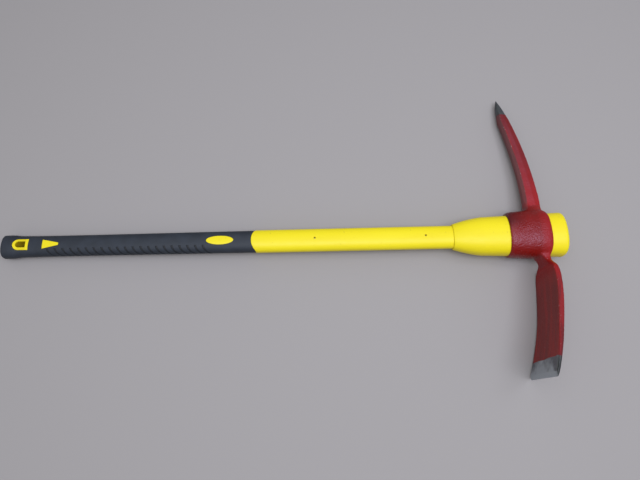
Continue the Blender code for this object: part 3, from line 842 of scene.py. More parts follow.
        specks = add(NOISE, {"Vector": place, "Scale": per_metre(self.speck), "Detail": 1.0})[0]
        likely = add(MATH, {0: wear, 1: self.edge_chips}, operation="MULTIPLY")[0]
        chance = add(MATH, {0: specks, 1: likely}, operation="ADD")[0]
        chipped = add(RANGE, {"Value": chance, **limits(self.chip_range)})[0]
        layers = [
            (streaked, self.rubbed),
            (unworn, self.unworn_and_lit),
            # painted light on the eye's high rim, brighter crimson at the arms' roots
            (thick, self.unworn_and_lit),
            # dust with a painted sky sheen
            (dust_and_sky_sheen, self.dusty),
            # soil with painted light on the blade's faces; a film with a painted highlight at the eye's low
            # end
            (soil_and_light, self.scuffed_and_lit),
            # painted shade and floor reflection on the pick's inner side
            (grime, self.shade_and_reflection_grey),
            # darker on the eye's upper back; painted shade on the blade's narrow sides
            (darkened, self.dark_crimson),
            (chipped, self.chip),
        ]
        return self.coats(add, self.paint, layers)

    def steel_colour(self, add: Add, place: Socket, arm: Socket) -> tuple[Socket, Socket]:
        """Colour of the ground steel: smudged, scratched along the arm, cleaner on the ground bevel.

        Args:
            add: what adds nodes to the material
            place: the point on the tool
            arm: the point's place along, across and up on its arm

        Returns:
            The colour's socket and that of the scratches.
        """
        bevel = add(ATTRIBUTE, attribute_name="ground_bevel")["Fac"]
        scale = add(ATTRIBUTE, attribute_name="steel_scale")["Fac"]
        along = add(VECTOR_MATH, {0: arm, 1: self.scratches_per_metre}, operation="MULTIPLY")[0]
        grinding = add(NOISE, {"Vector": along, "Scale": 1.0, "Detail": 2.0})[0]
        clouds = add(NOISE, {"Vector": place, "Scale": per_metre(self.smudge), "Detail": 3.0})[0]
        rubbing = limits(self.smudge_range, (0.0, self.smudge_clean))
        clean = add(RANGE, {"Value": clouds, **rubbing})[0]
        scratches = {0: grinding, 1: self.scratch_share, 2: clean}
        scratched = add(MATH, scratches, operation="MULTIPLY_ADD")[0]
        lifted = {0: bevel, 1: self.bevel_share, 2: scratched}
        tone = add(MATH, lifted, operation="MULTIPLY_ADD", use_clamp=True)[0]
        colour = self.coats(add, self.dark_steel, [(tone, self.steel), (scale, self.scale_dark)])
        return colour, grinding


@dataclass(frozen=True)
class MouldedPolypropylene(Finish):
    """Lemon yellow polypropylene, injection moulded.

    It is satin and slightly waxy, a little uneven where the melt flowed, with fine handling marks,
    and painted a darker amber down the hang hole for the shade in it.
    """

    yellow: str = "EAD71B"
    deep_yellow: str = "E1CA13"
    grime: str = "8C7A2E"
    # Painted shade: darker amber down the hang hole's wall
    hole_shade_amber: str = "AE9812"
    hole_at: float = 0.0317
    hole_reach: float = 0.0083
    hole_shade: Span = (0.0132, 0.0100)
    flow_per_metre: Triple = (12.0, 60.0, 60.0)
    mark: float = 5.0
    mark_range: Span = (0.66, 0.80)
    mark_share: float = 0.35
    peel: float = 1.4
    gloss: Span = (0.32, 0.54)
    reflectance: float = 0.28

    def material(self) -> Material:
        """Build the material."""
        material, add, place = self.begin()
        flowing = add(VECTOR_MATH, {0: place, 1: self.flow_per_metre}, operation="MULTIPLY")[0]
        flow = add(NOISE, {"Vector": flowing, "Scale": 1.0, "Detail": 2.0})[0]
        marks = add(NOISE, {"Vector": place, "Scale": per_metre(self.mark), "Detail": 4.0})[0]
        dirty = add(RANGE, {"Value": marks, **limits(self.mark_range, (0.0, self.mark_share))})[0]
        # painted shade down the hang hole
        shaded_in_hole = self.in_hole(add, place)
        layers = [(flow, self.deep_yellow), (dirty, self.grime), (shaded_in_hole, self.hole_shade_amber)]
        colour = self.coats(add, self.yellow, layers)
        gloss = add(RANGE, {"Value": marks, **limits(WHOLE, self.gloss)})[0]
        peel = add(NOISE, {"Vector": place, "Scale": per_metre(self.peel), "Detail": 1.0})[0]
        wavy = add(BUMP, {"Height": flow, "Strength": 0.12, "Distance": 0.001})[0]
        fine = add(BUMP, {"Height": peel, "Strength": 0.10, "Distance": 0.0002, "Normal": wavy})[0]
        reflectance = self.reflectance
        return self.end(
            material, Base_Color=colour, Roughness=gloss, Normal=fine, Specular_IOR_Level=reflectance
        )

    def in_hole(self, add: Add, place: Socket) -> Socket:
        """How far in, from 0 to 1, a point lies in the hang hole, where the wall is painted darker for its
        shade.
        """
        axes = add(PARTS, {0: place})
        away = add(MATH, {0: axes[0], 1: self.hole_at}, operation="SUBTRACT")[0]
        off = add(MATH, {0: away}, operation="ABSOLUTE")[0]
        near = add(MATH, {0: off, 1: self.hole_reach}, operation="LESS_THAN")[0]
        height = add(MATH, {0: axes[2]}, operation="ABSOLUTE")[0]
        deep = add(RANGE, {"Value": height, **limits(self.hole_shade)})[0]
        return add(MATH, {0: near, 1: deep}, operation="MULTIPLY")[0]


@dataclass(frozen=True)
class MouldedSoftRubber(Finish):
    """Thermoplastic rubber, bluish black, moulded with a fine spark-eroded grain.

    It is matt, picks up pale dust in patches, and has painted shade, with some grime, in the grooves.
    """

    rubber: str = "1C2129"
    dusted: str = "2A303A"
    # Painted shade, with some grime, in the grooves
    groove_shade: str = "08090B"
    patch: float = 16.0
    patch_range: Span = (0.40, 0.72)
    patch_share: float = 0.55
    grain: float = 0.9
    gloss: Span = (0.52, 0.74)

    def material(self) -> Material:
        """Build the material."""
        material, add, place = self.begin()
        depth = add(ATTRIBUTE, attribute_name="groove_depth")["Fac"]
        clouds = add(NOISE, {"Vector": place, "Scale": per_metre(self.patch), "Detail": 4.0})[0]
        dusty = add(RANGE, {"Value": clouds, **limits(self.patch_range, (0.0, self.patch_share))})[0]
        # painted shade, with some grime, in the grooves
        colour = self.coats(add, self.rubber, [(dusty, self.dusted), (depth, self.groove_shade)])
        grain = add(NOISE, {"Vector": place, "Scale": per_metre(self.grain), "Detail": 1.0})[0]
        gloss = add(RANGE, {"Value": clouds, **limits(WHOLE, self.gloss)})[0]
        fine = add(BUMP, {"Height": grain, "Strength": 0.35, "Distance": 0.0003})[0]
        return self.end(material, Base_Color=colour, Roughness=gloss, Normal=fine)


@dataclass(frozen=True)
class PultrudedGlassFibre(Finish):
    """Amber resin round glass rovings, pulled through a die: streaks along the rod, sawn ends."""

    resin: str = "8C7A4A"
    fibre: str = "B7A878"
    fibres_per_metre: Triple = (20.0, 1400.0, 1400.0)
    gloss: Span = (0.35, 0.7)

    def material(self) -> Material:
        """Build the material."""
        material, add, place = self.begin()
        drawn = add(VECTOR_MATH, {0: place, 1: self.fibres_per_metre}, operation="MULTIPLY")[0]
        fibres = add(NOISE, {"Vector": drawn, "Scale": 1.0, "Detail": 3.0})[0]
        colour = self.coats(add, self.resin, [(fibres, self.fibre)])
        gloss = add(RANGE, {"Value": fibres, **limits(WHOLE, self.gloss)})[0]
        fine = add(BUMP, {"Height": fibres, "Strength": 0.2, "Distance": 0.0002})[0]
        return self.end(material, Base_Color=colour, Roughness=gloss, Normal=fine)


# Sub-assemblies


@dataclass
class RubberGrip:
    """Black rubber over the lower part of the handle, closed at the butt, grooved on the blade's side."""

    handle: HandleShape
    pads: Pads
    skin: OvalSkin
    station_step: float = 0.004
    scallop_step: float = 0.002
    first_station: float = 0.006
    butt_round: float = 0.0028
    groove_start: float = 0.0856
    groove_stop_before_end: float = 0.0600
    groove_pitch: float = 0.01266
    groove_width: float = 0.0030
    groove_depth: float = 0.0011
    groove_slant: float = math.radians(41)
    groove_lean: float = 0.0200
    plain_end: float = 0.0350
    plain_band: float = 0.0146

    def stations(self, start: float, depth: float) -> list[Row]:
        """Rows along the grip, drawn in by a depth, up to its scalloped end."""
        shape = self.handle
        straight = shape.grip_length - shape.scallop_run
        rows = sections(spread(start, straight, self.station_step), shape.grip_half, depth)
        for x in spread(straight, shape.grip_length, self.scallop_step)[1:]:
            lead = shape.grip_scallop * ((x - straight) / (shape.grip_length - straight)) ** 2
            rows.append((x, inset(shape.grip_half(x), depth), lead))
        return rows

    def groove_tree(self) -> Tree:
        """Geometry nodes that lay slanted bars along one side of the grip at one pitch."""
        lengths = ("Start", "Pitch", "Width", "Reach", "Height", "Slant", "Side Distance")
        kinds = {"Geometry": "Geometry", **dict.fromkeys(lengths, "Float"), "Count": "Int"}
        tree, given = begin_geometry("slanted_grooves", {**kinds, "Finish": "Material"})
        add = partial(add_node, tree)
        size = add(VECTOR, {0: given["Width"], 1: given["Reach"], 2: given["Height"]})[0]
        bar = add("GeometryNodeMeshCube", {"Size": size})[0]
        turn = add(VECTOR, {1: given["Slant"]})[0]
        first = add(VECTOR, {0: given["Start"], 1: given["Side Distance"]})[0]
        step = add(VECTOR, {0: given["Pitch"]})[0]
        spacing = {"Count": given["Count"], "Start Location": first, "Offset": step}
        row = add("GeometryNodeMeshLine", spacing)[0]
        laid = {"Points": row, "Instance": bar, "Rotation": turn}
        bars = add("GeometryNodeInstanceOnPoints", laid)[0]
        return end_geometry(tree, bars, given["Finish"])

    def grooves(self) -> Thing:
        """The bars that cut the grooves, limited to the grooves' depth."""
        shape = self.handle
        room = shape.grip_length - self.groove_stop_before_end - self.groove_start
        values = {
            "Start": self.groove_start,
            "Pitch": self.groove_pitch,
            "Width": self.groove_width,
            "Reach": 2 * shape.flare[0],
            "Height": 2 * shape.past_skin,
            "Slant": -self.groove_slant,
            "Side Distance": Side.BLADE.value * (self.plain_band / 2 + shape.flare[0]),
            "Count": int(room / self.groove_pitch) + 1,
        }
        bars = link_mesh("groove_bars", bmesh.new())
        grow(bars, self.groove_tree(), values)
        core = self.skin.piece("groove_floor", capped(self.stations(0.0, self.groove_depth)))
        return combine(bars, core, Cut.TAKE)

    def build(self) -> Thing:
        """Make the grip: outside, inside, windows and grooves."""
        shape = self.handle
        rows = [(0.0, NO_SIZE, 0.0)]
        for along, drop in reversed(rounding(self.butt_round, self.butt_round)):
            rows.append((along, inset(shape.grip_half(0.0), drop), 0.0))
        rows += self.stations(self.first_station, 0.0)
        rows += reversed(self.stations(shape.butt_wall, shape.grip_wall))
        rows.append((shape.butt_wall, NO_SIZE, 0.0))
        grip = self.skin.piece("rubber_grip_moulding", rows)
        for name, ring in self.pads.outer_rings(shape.fit).items():
            combine(grip, prism(f"{name}_window", ring, shape.past_skin), Cut.TAKE)
        combine(grip, self.grooves(), Cut.TAKE)
        shade(grip)
        self.mark_grooves(grip)
        return grip

    def mark_grooves(self, grip: Thing) -> None:
        """Store how deep each point lies in a groove, from 0 to 1."""
        first = self.groove_start - self.groove_lean
        last = self.handle.grip_length - self.plain_end
        depths = []
        for x, y, z in points_of(grip):
            half = self.handle.grip_half(float(x))
            wide, high = abs(y / half[0]), abs(z / half[1])
            across = (wide**SQUARENESS + high**SQUARENESS) ** (1 / SQUARENESS)
            sunk = min(1.0, max(0.0, (1 - across) * half[1] / self.groove_depth))
            grooved = Side.BLADE.value * y > self.plain_band / 2 and first < x < last
            depths.append(sunk if grooved else 0.0)
        save_attribute(grip, "groove_depth", "FLOAT", np.array(depths))

    def dress(self, grip: Thing) -> None:
        """Give it its rubber and lay it down."""
        rubber = MouldedSoftRubber("moulded_soft_rubber").material()
        lay_down(grip, "rubber_grip", rubber)


@dataclass
class HandleJacket:
    """Yellow tube from butt to sleeve, with the pads that stand through the rubber."""

    handle: HandleShape
    pads: Pads
    skin: OvalSkin
    station_step: float = 0.006
    fade_step: float = 0.003
    fade_lengths: float = 4.0
    shoulder_round: float = 0.0012
    pad_proud: float = 0.0002
    pad_root: float = 0.0006
    pad_round: float = 0.0005
    pad_step: float = 0.12
    pad_middle: float = 0.04
    witness_radius: float = 0.0017
    witness_steps: int = 32
    witness_places: tuple[float, float] = (0.5100, 0.6905)

    def tube(self) -> Thing:
        """The tube itself, with its blind bore for the core."""
        shape, scallop = self.handle, self.handle.grip_scallop
        under = shape.grip_wall + shape.fit
        start = shape.butt_wall + shape.fit
        low_end = shape.grip_length - shape.scallop_run
        rows = [(start, NO_SIZE, 0.0)]
        rows += sections(spread(start, low_end, self.station_step), shape.grip_half, under)
        shoulder = shape.grip_length + shape.fit
        rows.append((shoulder, inset(shape.grip_half(shape.grip_length), under), scallop))
        for along, drop in reversed(rounding(self.shoulder_round, self.shoulder_round, 5)):
            rows.append((shoulder + along, inset(shape.shaft_half(shoulder), drop), scallop))
        fade_end = shape.grip_length + self.fade_lengths * scallop
        for x in spread(shoulder + self.shoulder_round, fade_end, self.fade_step)[1:]:
            left = (fade_end - x) / (fade_end - shoulder)
            rows.append((x, shape.shaft_half(x), scallop * left**2))
        end = shape.sleeve_start + shape.socket
        rows += sections(spread(fade_end, end, self.station_step)[1:], shape.shaft_half)
        bore = inset(shape.core_half, -shape.fit)
        bottom = shape.core_start - shape.fit
        rows += [(end, bore, 0.0), (bottom, bore, 0.0), (bottom, NO_SIZE, 0.0)]
        return self.skin.piece("handle_jacket_moulding", rows)

    def pad(self, name: str, outer: Outline, inner: Outline, side: int) -> Thing:
        """One pad that follows the grip's outside, with a rounded rim.

        Args:
            name: name of the new body
            outer: its outline
            inner: the same number of points round its hole, or close round its middle
            side: 1 for the tool's upper side, -1 for its lower side

        Returns:
            The pad as a closed body.
        """
        shape = self.handle
        root = shape.core_half[1] + shape.fit + self.pad_root
        width = max(math.dist(a, b) for a, b in zip(outer, inner))
        rim = reversed(rounding(self.pad_round, self.pad_round, 4))
        levels = [(0.0, None), *[(along / width, drop) for along, drop in rim]]
        levels += [(share, 0.0) for share in spread(self.pad_round / width, 1.0, self.pad_step)[1:]]
        rings = []
        for share, drop in levels:
            ring = []
            for far, near in zip(outer, inner):
                x, y = between(far, near, share)
                top = root if drop is None else shape.grip_top(x, y) + self.pad_proud - drop
                ring.append(Vector((x, y, side * top)))
            rings.append(ring)
        rings.append([Vector((x, y, side * root)) for x, y in inner])
        return loft(name, rings, closed=True)

    def build(self) -> Thing:
        """Make the tube, add the pads and cut the holes."""
        jacket, pads, shrink = self.tube(), self.pads, self.pad_middle
        outer = pads.outer_rings(0.0)
        inner = {"eyelet": pads.d_ring(pads.hang_hole)}
        for name, middle in (("arrow", pads.arrow_at), ("oval_pad", pads.oval_at)):
            inner[name] = [between((middle, 0.0), place, shrink) for place in outer[name]]
        for name, ring in outer.items():
            for side in (1, -1):
                combine(jacket, self.pad(name, ring, inner[name], side), Cut.ADD)
        reach, radius = self.handle.past_skin, self.witness_radius
        combine(jacket, prism("hang_hole", inner["eyelet"], reach), Cut.TAKE)
        turns = circle(self.witness_steps)
        for place in self.witness_places:
            ring = [(place + radius * math.cos(a), radius * math.sin(a)) for a in turns]
            combine(jacket, prism("witness_hole", ring, reach), Cut.TAKE)
        return shade(jacket)

    def dress(self, jacket: Thing, yellow: Material) -> None:
        """Give it its plastic and lay it down."""
        lay_down(jacket, "handle_jacket", yellow)


@dataclass
class HeadEndSleeve:
    """Flared yellow moulding that the head jams on."""

    handle: HandleShape
    skin: OvalSkin
    ramp_step: float = 0.002
    taper_step: float = 0.003
    end_round: float = 0.0060
    lip_round: float = 0.0008

    def build(self) -> Thing:
        """Make the sleeve: ramp, taper, rounded end, bore and socket."""
        shape = self.handle
        start = shape.sleeve_start
        rows = []
        for along, drop in reversed(rounding(self.lip_round, self.lip_round, 4)):
            rows.append((start + along, inset(shape.sleeve_half(start + along), drop), 0.0))
        taper_from = start + shape.ramp_length
        last = shape.length - self.end_round
        places = spread(start + self.lip_round, taper_from, self.ramp_step)[1:]
        places += spread(taper_from, last, self.taper_step)[1:]
        rows += sections(places, shape.sleeve_half)
        for along, drop in rounding(self.end_round, self.end_round, 10):
            x = shape.length - along
            rows.append((x, inset(shape.sleeve_half(x), drop), 0.0))
        bore = inset(shape.core_half, -shape.fit)
        socket_end = start + shape.socket + shape.fit
        rows += [(shape.length, bore, 0.0), (socket_end, bore, 0.0)]
        rows += sections((socket_end, start), shape.shaft_half, -shape.fit)
        rows.append(rows[0])
        return shade(self.skin.piece("head_end_sleeve_moulding", rows))

    def dress(self, sleeve: Thing, yellow: Material) -> None:
        """Give it its plastic and lay it down."""
        lay_down(sleeve, "head_end_sleeve", yellow)


@dataclass(frozen=True)
class Arm:
    """An arm of the head, by its back line: straight within the eye, then a circle towards the butt.

    The line starts a setback from the eye's high end and a standoff from its side. The arm blends
    into the eye over one length, its enamel is brighter crimson from the root, fading over another, and
    its end is bare steel over a third, with a border that slants by its distance behind the line and by
    its height.
    """

    side: Side
    setback: float
    standoff: float
    lean: float
    radius: float
    reach: float
    blend: float
    unworn_and_lit: float
    bare: float
    slant: Half
    back_x: float = 0.0
    base: float = 0.0

    def on_eye(self, high: float, outside: float) -> Arm:
        """The same arm, standing on an eye with this high end and this half width."""
        return replace(self, back_x=high - self.setback, base=outside + self.standoff)

    @property
    def end(self) -> float:
        """Run along the back line at which the arm has its full reach."""
        sine = (self.reach - self.base) / self.radius + math.sin(self.lean)
        return self.radius * (math.asin(sine) - self.lean)

    def frame(self, run: float) -> tuple[Vector, Vector]:
        """Point on the back line at a run, and the direction towards the arm's back."""
        side = self.side.value
        turn = self.lean + max(0.0, run) / self.radius
        if run < 0:
            x = self.back_x - run * math.sin(self.lean)
            y = side * (self.base + run * math.cos(self.lean))
        else:
            x = self.back_x - self.radius * (math.cos(self.lean) - math.cos(turn))
            y = side * (self.base + self.radius * (math.sin(turn) - math.sin(self.lean)))
        return Vector((x, y, 0)), Vector((math.cos(turn), side * math.sin(turn), 0))

    def locate(self, points: np.ndarray) -> np.ndarray:
        """Find where points lie on the arm.

        Args:
            points: one row of x, y and z each

        Returns:
            One row each of run along the arm, distance behind its back line, and height.
        """
        centre_x = self.back_x - self.radius * math.cos(self.lean)
        centre_y = self.base - self.radius * math.sin(self.lean)
        across_x = points[:, 0] - centre_x
        across_y = self.side.value * points[:, 1] - centre_y
        run = (np.arctan2(across_y, across_x) - self.lean) * self.radius
        return np.stack([run, np.hypot(across_x, across_y) - self.radius, points[:, 2]], axis=1)

    def before_steel(self, places: np.ndarray) -> np.ndarray:
        """How far each place on the arm lies before the bare steel at its end."""
        run, behind, up = places.T
        return self.end - run - self.bare + self.slant[0] * behind + self.slant[1] * up

    def root_share(self, points: np.ndarray) -> np.ndarray:
        """How far, from 0 to 1, each point belongs to the blend between the arm and the eye."""
        outwards = self.side.value * points[:, 1] - self.base
        share = np.clip(BLEND_END - np.abs(outwards - BLEND_SHIFT * self.blend) / self.blend, 0.0, 1.0)
        return share * share * (3 - 2 * share)


@dataclass
class MattockHead:
    """One steel forging: an oval eye, a pointed pick and a broad adze blade."""

    handle: HandleShape
    skin: OvalSkin
    voxel: float = 0.00095
    ring_step: float = 0.002
    eye_step: float = 0.004
    eye_setback: float = 0.0280
    eye_length: float = 0.0656
    eye_shift: float = 0.0013
    wall_low: float = 0.0038
    wall_high: float = 0.0054
    rim_land: float = 0.0012
    low_bevel: float = 0.0070
    high_bevel: float = 0.0105
    bore_over: float = 0.010
    bore_step: float = 0.012
    pick: Arm = Arm(
        Side.PICK,
        setback=0.0009,
        standoff=-0.0014,
        lean=math.radians(1.5),
        radius=0.650,
        reach=0.2594,
        blend=0.014,
        unworn_and_lit=0.110,
        bare=0.0340,
        slant=(-0.30, 0.0),
    )
    pick_root_depth: float = 0.0220
    pick_root_run: float = 0.0180
    pick_root: Half = (0.0264, 0.0215)
    pick_flare: tuple[Triple, ...] = (
        (-1.0, 1.30, 2.1),
        (-0.27, 1.22, 1.8),
        (0.11, 1.10, 1.35),
        (0.50, 1.03, 1.1),
        (1.0, 1.0, 1.0),
    )
    pick_neck: Half = (0.0190, 0.0180)
    pick_taper: tuple[Span, ...] = (
        (0.14, 0.91),
        (0.30, 0.79),
        (0.46, 0.68),
        (0.62, 0.56),
        (0.78, 0.38),
        (0.90, 0.21),
        (1.0, 0.05),
    )
    pick_point: float = 0.0440
    pick_drop: float = 0.0003
    pick_chamfer: float = 0.0110
    pick_inner_chamfer: Half = (0.0034, 0.0060)
    pick_limits: Triple = (0.45, 0.25, 0.32)
    pick_back: float = 0.22
    blade: Arm = Arm(
        Side.BLADE,
        setback=0.0029,
        standoff=0.0036,
        lean=math.radians(-1.0),
        radius=0.472,
        reach=0.2290,
        blend=0.016,
        unworn_and_lit=0.050,
        bare=0.0290,
        slant=(0.0, -0.05),
    )
    blade_root_depth: float = 0.0220
    blade_rise: float = 0.0190
    blade_straight: tuple[float, float] = (0.0600, 0.0950)
    blade_spread: float = 0.1400
    blade_widths: tuple[float, float, float, float] = (0.0340, 0.0720, 0.0828, 0.1000)
    blade_thicknesses: tuple[float, float, float, float] = (0.0106, 0.0088, 0.0044, 0.0009)
    blade_edge_offset: float = 0.46
    blade_bevel: float = 0.0080
    blade_corners: tuple[float, float] = (0.0080, 0.0020)
    blade_side_round: float = 0.0014
    blade_round_limit: float = 0.3
    all_soft: float = 0.999
    blend_passes: int = 34
    blend_step: float = 0.6
    pebble: float = 7.0
    pebble_depth: float = 0.00016
    pebble_mean: float = 0.5
    pebble_gain: float = 0.7
    bright_root_ramp: Span = (0.007, 0.004)
    # Run limit, reach and share of the painted light on the eye's high rim
    lit_rim_run_limit: float = 0.008
    lit_rim_reach: float = 0.019
    lit_rim_share: float = 0.7
    # Soil with painted light on the blade's broad faces, then a film with a painted highlight at the eye's
    # low end
    soiled_and_lit_start: Span = (0.010, 0.020)
    soiled_and_lit_share: float = 0.36
    low_end_reach: float = 0.014
    low_end_width: float = 0.020
    low_end_taper: float = 1.4
    low_end_share: float = 0.28
    # Painted shade and floor reflection on the pick's inner side
    inner_side_share: float = 0.62
    inner_side_rise: float = 0.02
    # Darkening of the eye's upper back, and painted shade on the blade's narrow sides
    back_darkening_reach: float = 0.032
    back_darkening_width: float = 0.015
    darkening_shares: tuple[float, float] = (0.8, 0.6)
    point_scale: float = 0.80
    full_wear: float = 400.0
    broad_gain: float = 2.0
    side_gain: float = 3.0

    def __post_init__(self) -> None:
        """Stand the two arms on the eye."""
        outside = self.eye_half(self.eye_high)[0]
        self.pick = self.pick.on_eye(self.eye_high, outside)
        self.blade = self.blade.on_eye(self.eye_high, outside)

    @property
    def eye_high(self) -> float:
        """The eye's end towards the head end of the handle."""
        return self.handle.length - self.eye_setback

    @property
    def eye_low(self) -> float:
        """The eye's end towards the butt."""
        return self.eye_high - self.eye_length

    def eye_half(self, place: float) -> Half:
        """Half width and thickness of the eye's outside."""
        wall = mix(self.wall_low, self.wall_high, (place - self.eye_low) / self.eye_length)
        return inset(self.handle.sleeve_half(place), -self.handle.fit - wall)

    def rim(self, place: float, share: float) -> Row:
        """A row of a bevelled rim, a share of the way in from the outside to its narrow land."""
        land = inset(self.handle.sleeve_half(place), -self.handle.fit - self.rim_land)
        return place, between(self.eye_half(place), land, share), 0.0

    def eye_body(self) -> Thing:
        """The eye as a solid, before its bore."""
        marks = [(self.eye_low + along, share) for along, share in rounding(self.low_bevel, 1.0)][::-1]
        middle = spread(self.eye_low + self.low_bevel, self.eye_high - self.high_bevel, self.eye_step)
        marks += [(x, 0.0) for x in middle[1:-1]]
        marks += [(self.eye_high - along, share) for along, share in rounding(self.high_bevel, 1.0)]
        shifts = [self.eye_shift * (1 - share) for _, share in marks]
        rows = capped([self.rim(x, share) for x, share in marks])
        return self.skin.piece("eye", rows, [shifts[0], *shifts, shifts[-1]])

    def bore(self) -> Thing:
        """The tapered hole through the eye."""
        places = spread(self.eye_low - self.bore_over, self.eye_high + self.bore_over, self.bore_step)
        return self.skin.piece("bore", capped(sections(places, self.handle.sleeve_half, -self.handle.fit)))

    def pick_rings(self) -> list[list[Vector]]:
        """Eight-sided sections of the pick: a broad chamfer at its back, a steep one inside."""
        deep, rise, end = self.pick_root_depth, self.pick_root_run, self.pick.end
        width, thick = self.pick_root
        neck = end - self.pick_point
        stations = []
        for share, wider, thicker in self.pick_flare:
            stations.append((share * (deep if share < 0 else rise), wider * width, thicker * thick))
        stations.append((neck, *self.pick_neck))
        for t, share in self.pick_taper:
            stations.append((mix(neck, end, t), self.pick_neck[0] * share, self.pick_neck[1] * share))
        rings = []
        for run in spread(-deep, end, self.ring_step):
            wide, high = through(stations, run)
            point, back = self.pick.frame(run)
            point = point - back * max(0.0, run - neck) / self.pick_point * self.pick_drop
            most_back, most_inner, most_fall = self.pick_limits
            chamfer = min(self.pick_chamfer, most_back * wide)
            inner = min(self.pick_inner_chamfer[0], most_inner * wide)
            fall = min(self.pick_inner_chamfer[1], most_fall * high)
            half = high / 2
            outline = [(0, half - self.pick_back * high), (-chamfer, half), (inner - wide, half)]
            outline.append((-wide, half - fall))
            outline += [(across, -up) for across, up in reversed(outline)]
            rings.append([point + back * across + Vector((0, 0, up)) for across, up in outline])
        return rings

    @staticmethod
    def corner_cut(left: float, radius: float) -> float:
        """How far a rounded corner draws a side in, at a distance left before the end."""
        past = max(0.0, radius - left)
        return radius - math.sqrt(max(0.0, radius**2 - past**2))

    def blade_rings(self) -> list[list[Vector]]:
        """Rounded flat-bar sections of the blade, from the eye to its cutting edge."""
        deep, rise, end = self.blade_root_depth, self.blade_rise, self.blade.end
        root_w, shoulder_w, middle_w, edge_w = self.blade_widths
        root_t, body_t, edge_t, cut_t = self.blade_thicknesses
        bevel = end - self.blade_bevel
        first, last = self.blade_straight
        stations = [
            (-deep, 0.50 * root_w, 1.9 * root_t),
            (-0.41 * deep, 0.50 * root_w, 1.6 * root_t),
            (-0.18 * deep, 0.50 * root_w, 1.2 * root_t),
            (0.0, 0.52 * root_w, root_t),
            (0.26 * rise, mix(root_w, shoulder_w, 0.28) / 2, mix(root_t, body_t, 0.50)),
            (0.53 * rise, mix(root_w, shoulder_w, 0.66) / 2, mix(root_t, body_t, 0.75)),
            (0.74 * rise, mix(root_w, shoulder_w, 0.90) / 2, mix(root_t, body_t, 0.90)),
            (rise, shoulder_w / 2, body_t),
            (1.8 * rise, mix(shoulder_w, middle_w, 0.7) / 2, body_t),
            (first, middle_w / 2, body_t),
            (last, middle_w / 2, 0.94 * body_t),
            (self.blade_spread, mix(middle_w, edge_w, 0.45) / 2, 0.76 * body_t),
            (bevel, mix(middle_w, edge_w, 0.92) / 2, edge_t),
            (end, edge_w / 2, cut_t),
        ]
        runs = {*spread(-deep, end, self.ring_step), bevel}
        for radius in self.blade_corners:
            runs |= {end - along for along, _ in rounding(radius, radius)}
        rings = []
        for run in sorted(runs):
            half, thick = through(stations, run)
            low, high = (half - self.corner_cut(end - run, radius) for radius in self.blade_corners)
            point, back = self.blade.frame(run)
            point = point - back * self.blade_edge_offset * max(0.0, body_t - thick)
            edge = min(self.blade_side_round, self.blade_round_limit * thick)
            outline = [(-edge, high), (0, high - edge), (0, edge - low), (-edge, -low)]
            outline += [(-thick - across, up) for across, up in reversed(outline)]
            rings.append([point + back * across + Vector((0, 0, up)) for across, up in outline])
        return rings

    def build(self) -> Thing:
        """Join eye and arms, remesh them as one skin, blend the roots and cut the bore."""
        head = self.eye_body()
        head.name = "mattock_head_forging"
        work = bmesh.new()
        work.from_mesh(head.data)
        for name, rings in (("pick", self.pick_rings()), ("blade", self.blade_rings())):
            arm = loft(name, rings)
            work.from_mesh(arm.data)
            bpy.data.objects.remove(arm)
        crisp = BVHTree.FromBMesh(work)
        work.to_mesh(head.data)
        work.free()
        remesh = head.modifiers.new("one_skin", "REMESH")
        remesh.mode = "VOXEL"
        remesh.voxel_size = self.voxel
        settle(head)
        self.forge(head, crisp)
        combine(head, self.bore(), Cut.TAKE)
        shade(head, 50)
        self.mark(head)
        return head

    def forge(self, head: Thing, crisp: BVHTree) -> None:
        """Blend the arms' roots into the eye, keep the rest crisp and give the skin its unevenness."""
        points = points_of(head).astype(np.float64)
        edges = edges_of(head)
        soft = np.maximum(self.pick.root_share(points), self.blade.root_share(points))
        for i in np.nonzero(soft < self.all_soft)[0]:
            near = crisp.find_nearest(Vector(points[i]))[0]
            if near is not None:
                points[i] = mix(np.array(near), points[i], float(soft[i]))
        neighbours = np.bincount(edges.ravel(), minlength=len(points)).astype(np.float64)
        for _ in range(self.blend_passes):
            total = np.zeros_like(points)
            np.add.at(total, edges[:, 0], points[edges[:, 1]])
            np.add.at(total, edges[:, 1], points[edges[:, 0]])
            points += self.blend_step * soft[:, None] * (total / neighbours[:, None] - points)
        self.move_points(head, points)
        normals = points_of(head, "normal")
        for i, point in enumerate(points):
            rise = noise.fractal(Vector(point) * per_metre(self.pebble), 1.0, 2.0, 2)
            dent = min(1.0, max(0.0, self.pebble_mean + self.pebble_gain * rise))
            points[i] -= normals[i] * self.pebble_depth * dent
        self.move_points(head, points)

    @staticmethod
    def move_points(head: Thing, points: np.ndarray) -> None:
        """Put a piece's points in new places."""
        head.data.vertices.foreach_set("co", points.astype(np.float32).ravel())
        head.data.update()

    def mark(self, head: Thing) -> None:
        """Store what the finish reads: place on the arm, distance from bare steel, wear, dirt, painted
        light and shade.
        """
        points = points_of(head).astype(np.float64)
        normals = points_of(head, "normal").astype(np.float64)
        on_pick, on_blade = self.pick.locate(points), self.blade.locate(points)
        pick_side = points[:, 1] > 0
        arm = np.where(pick_side[:, None], on_pick, on_blade)
        run = arm[:, 0]
        margin = np.where(pick_side, self.pick.before_steel(on_pick), self.blade.before_steel(on_blade))
        on_bevel = ~pick_side & (self.blade.end - on_blade[:, 0] < self.blade_bevel)
        unworn_and_lit = np.where(pick_side, self.pick.unworn_and_lit, self.blade.unworn_and_lit)
        by_arm = fade(run, 0.0, unworn_and_lit) * ramp(run, *self.bright_root_ramp)
        # Painted light: the eye's high rim, which faces the lamps, is brightened
        lit_rim = self.lit_rim_share * fade(self.eye_high - points[:, 0], 0.0, self.lit_rim_reach) ** 0.5

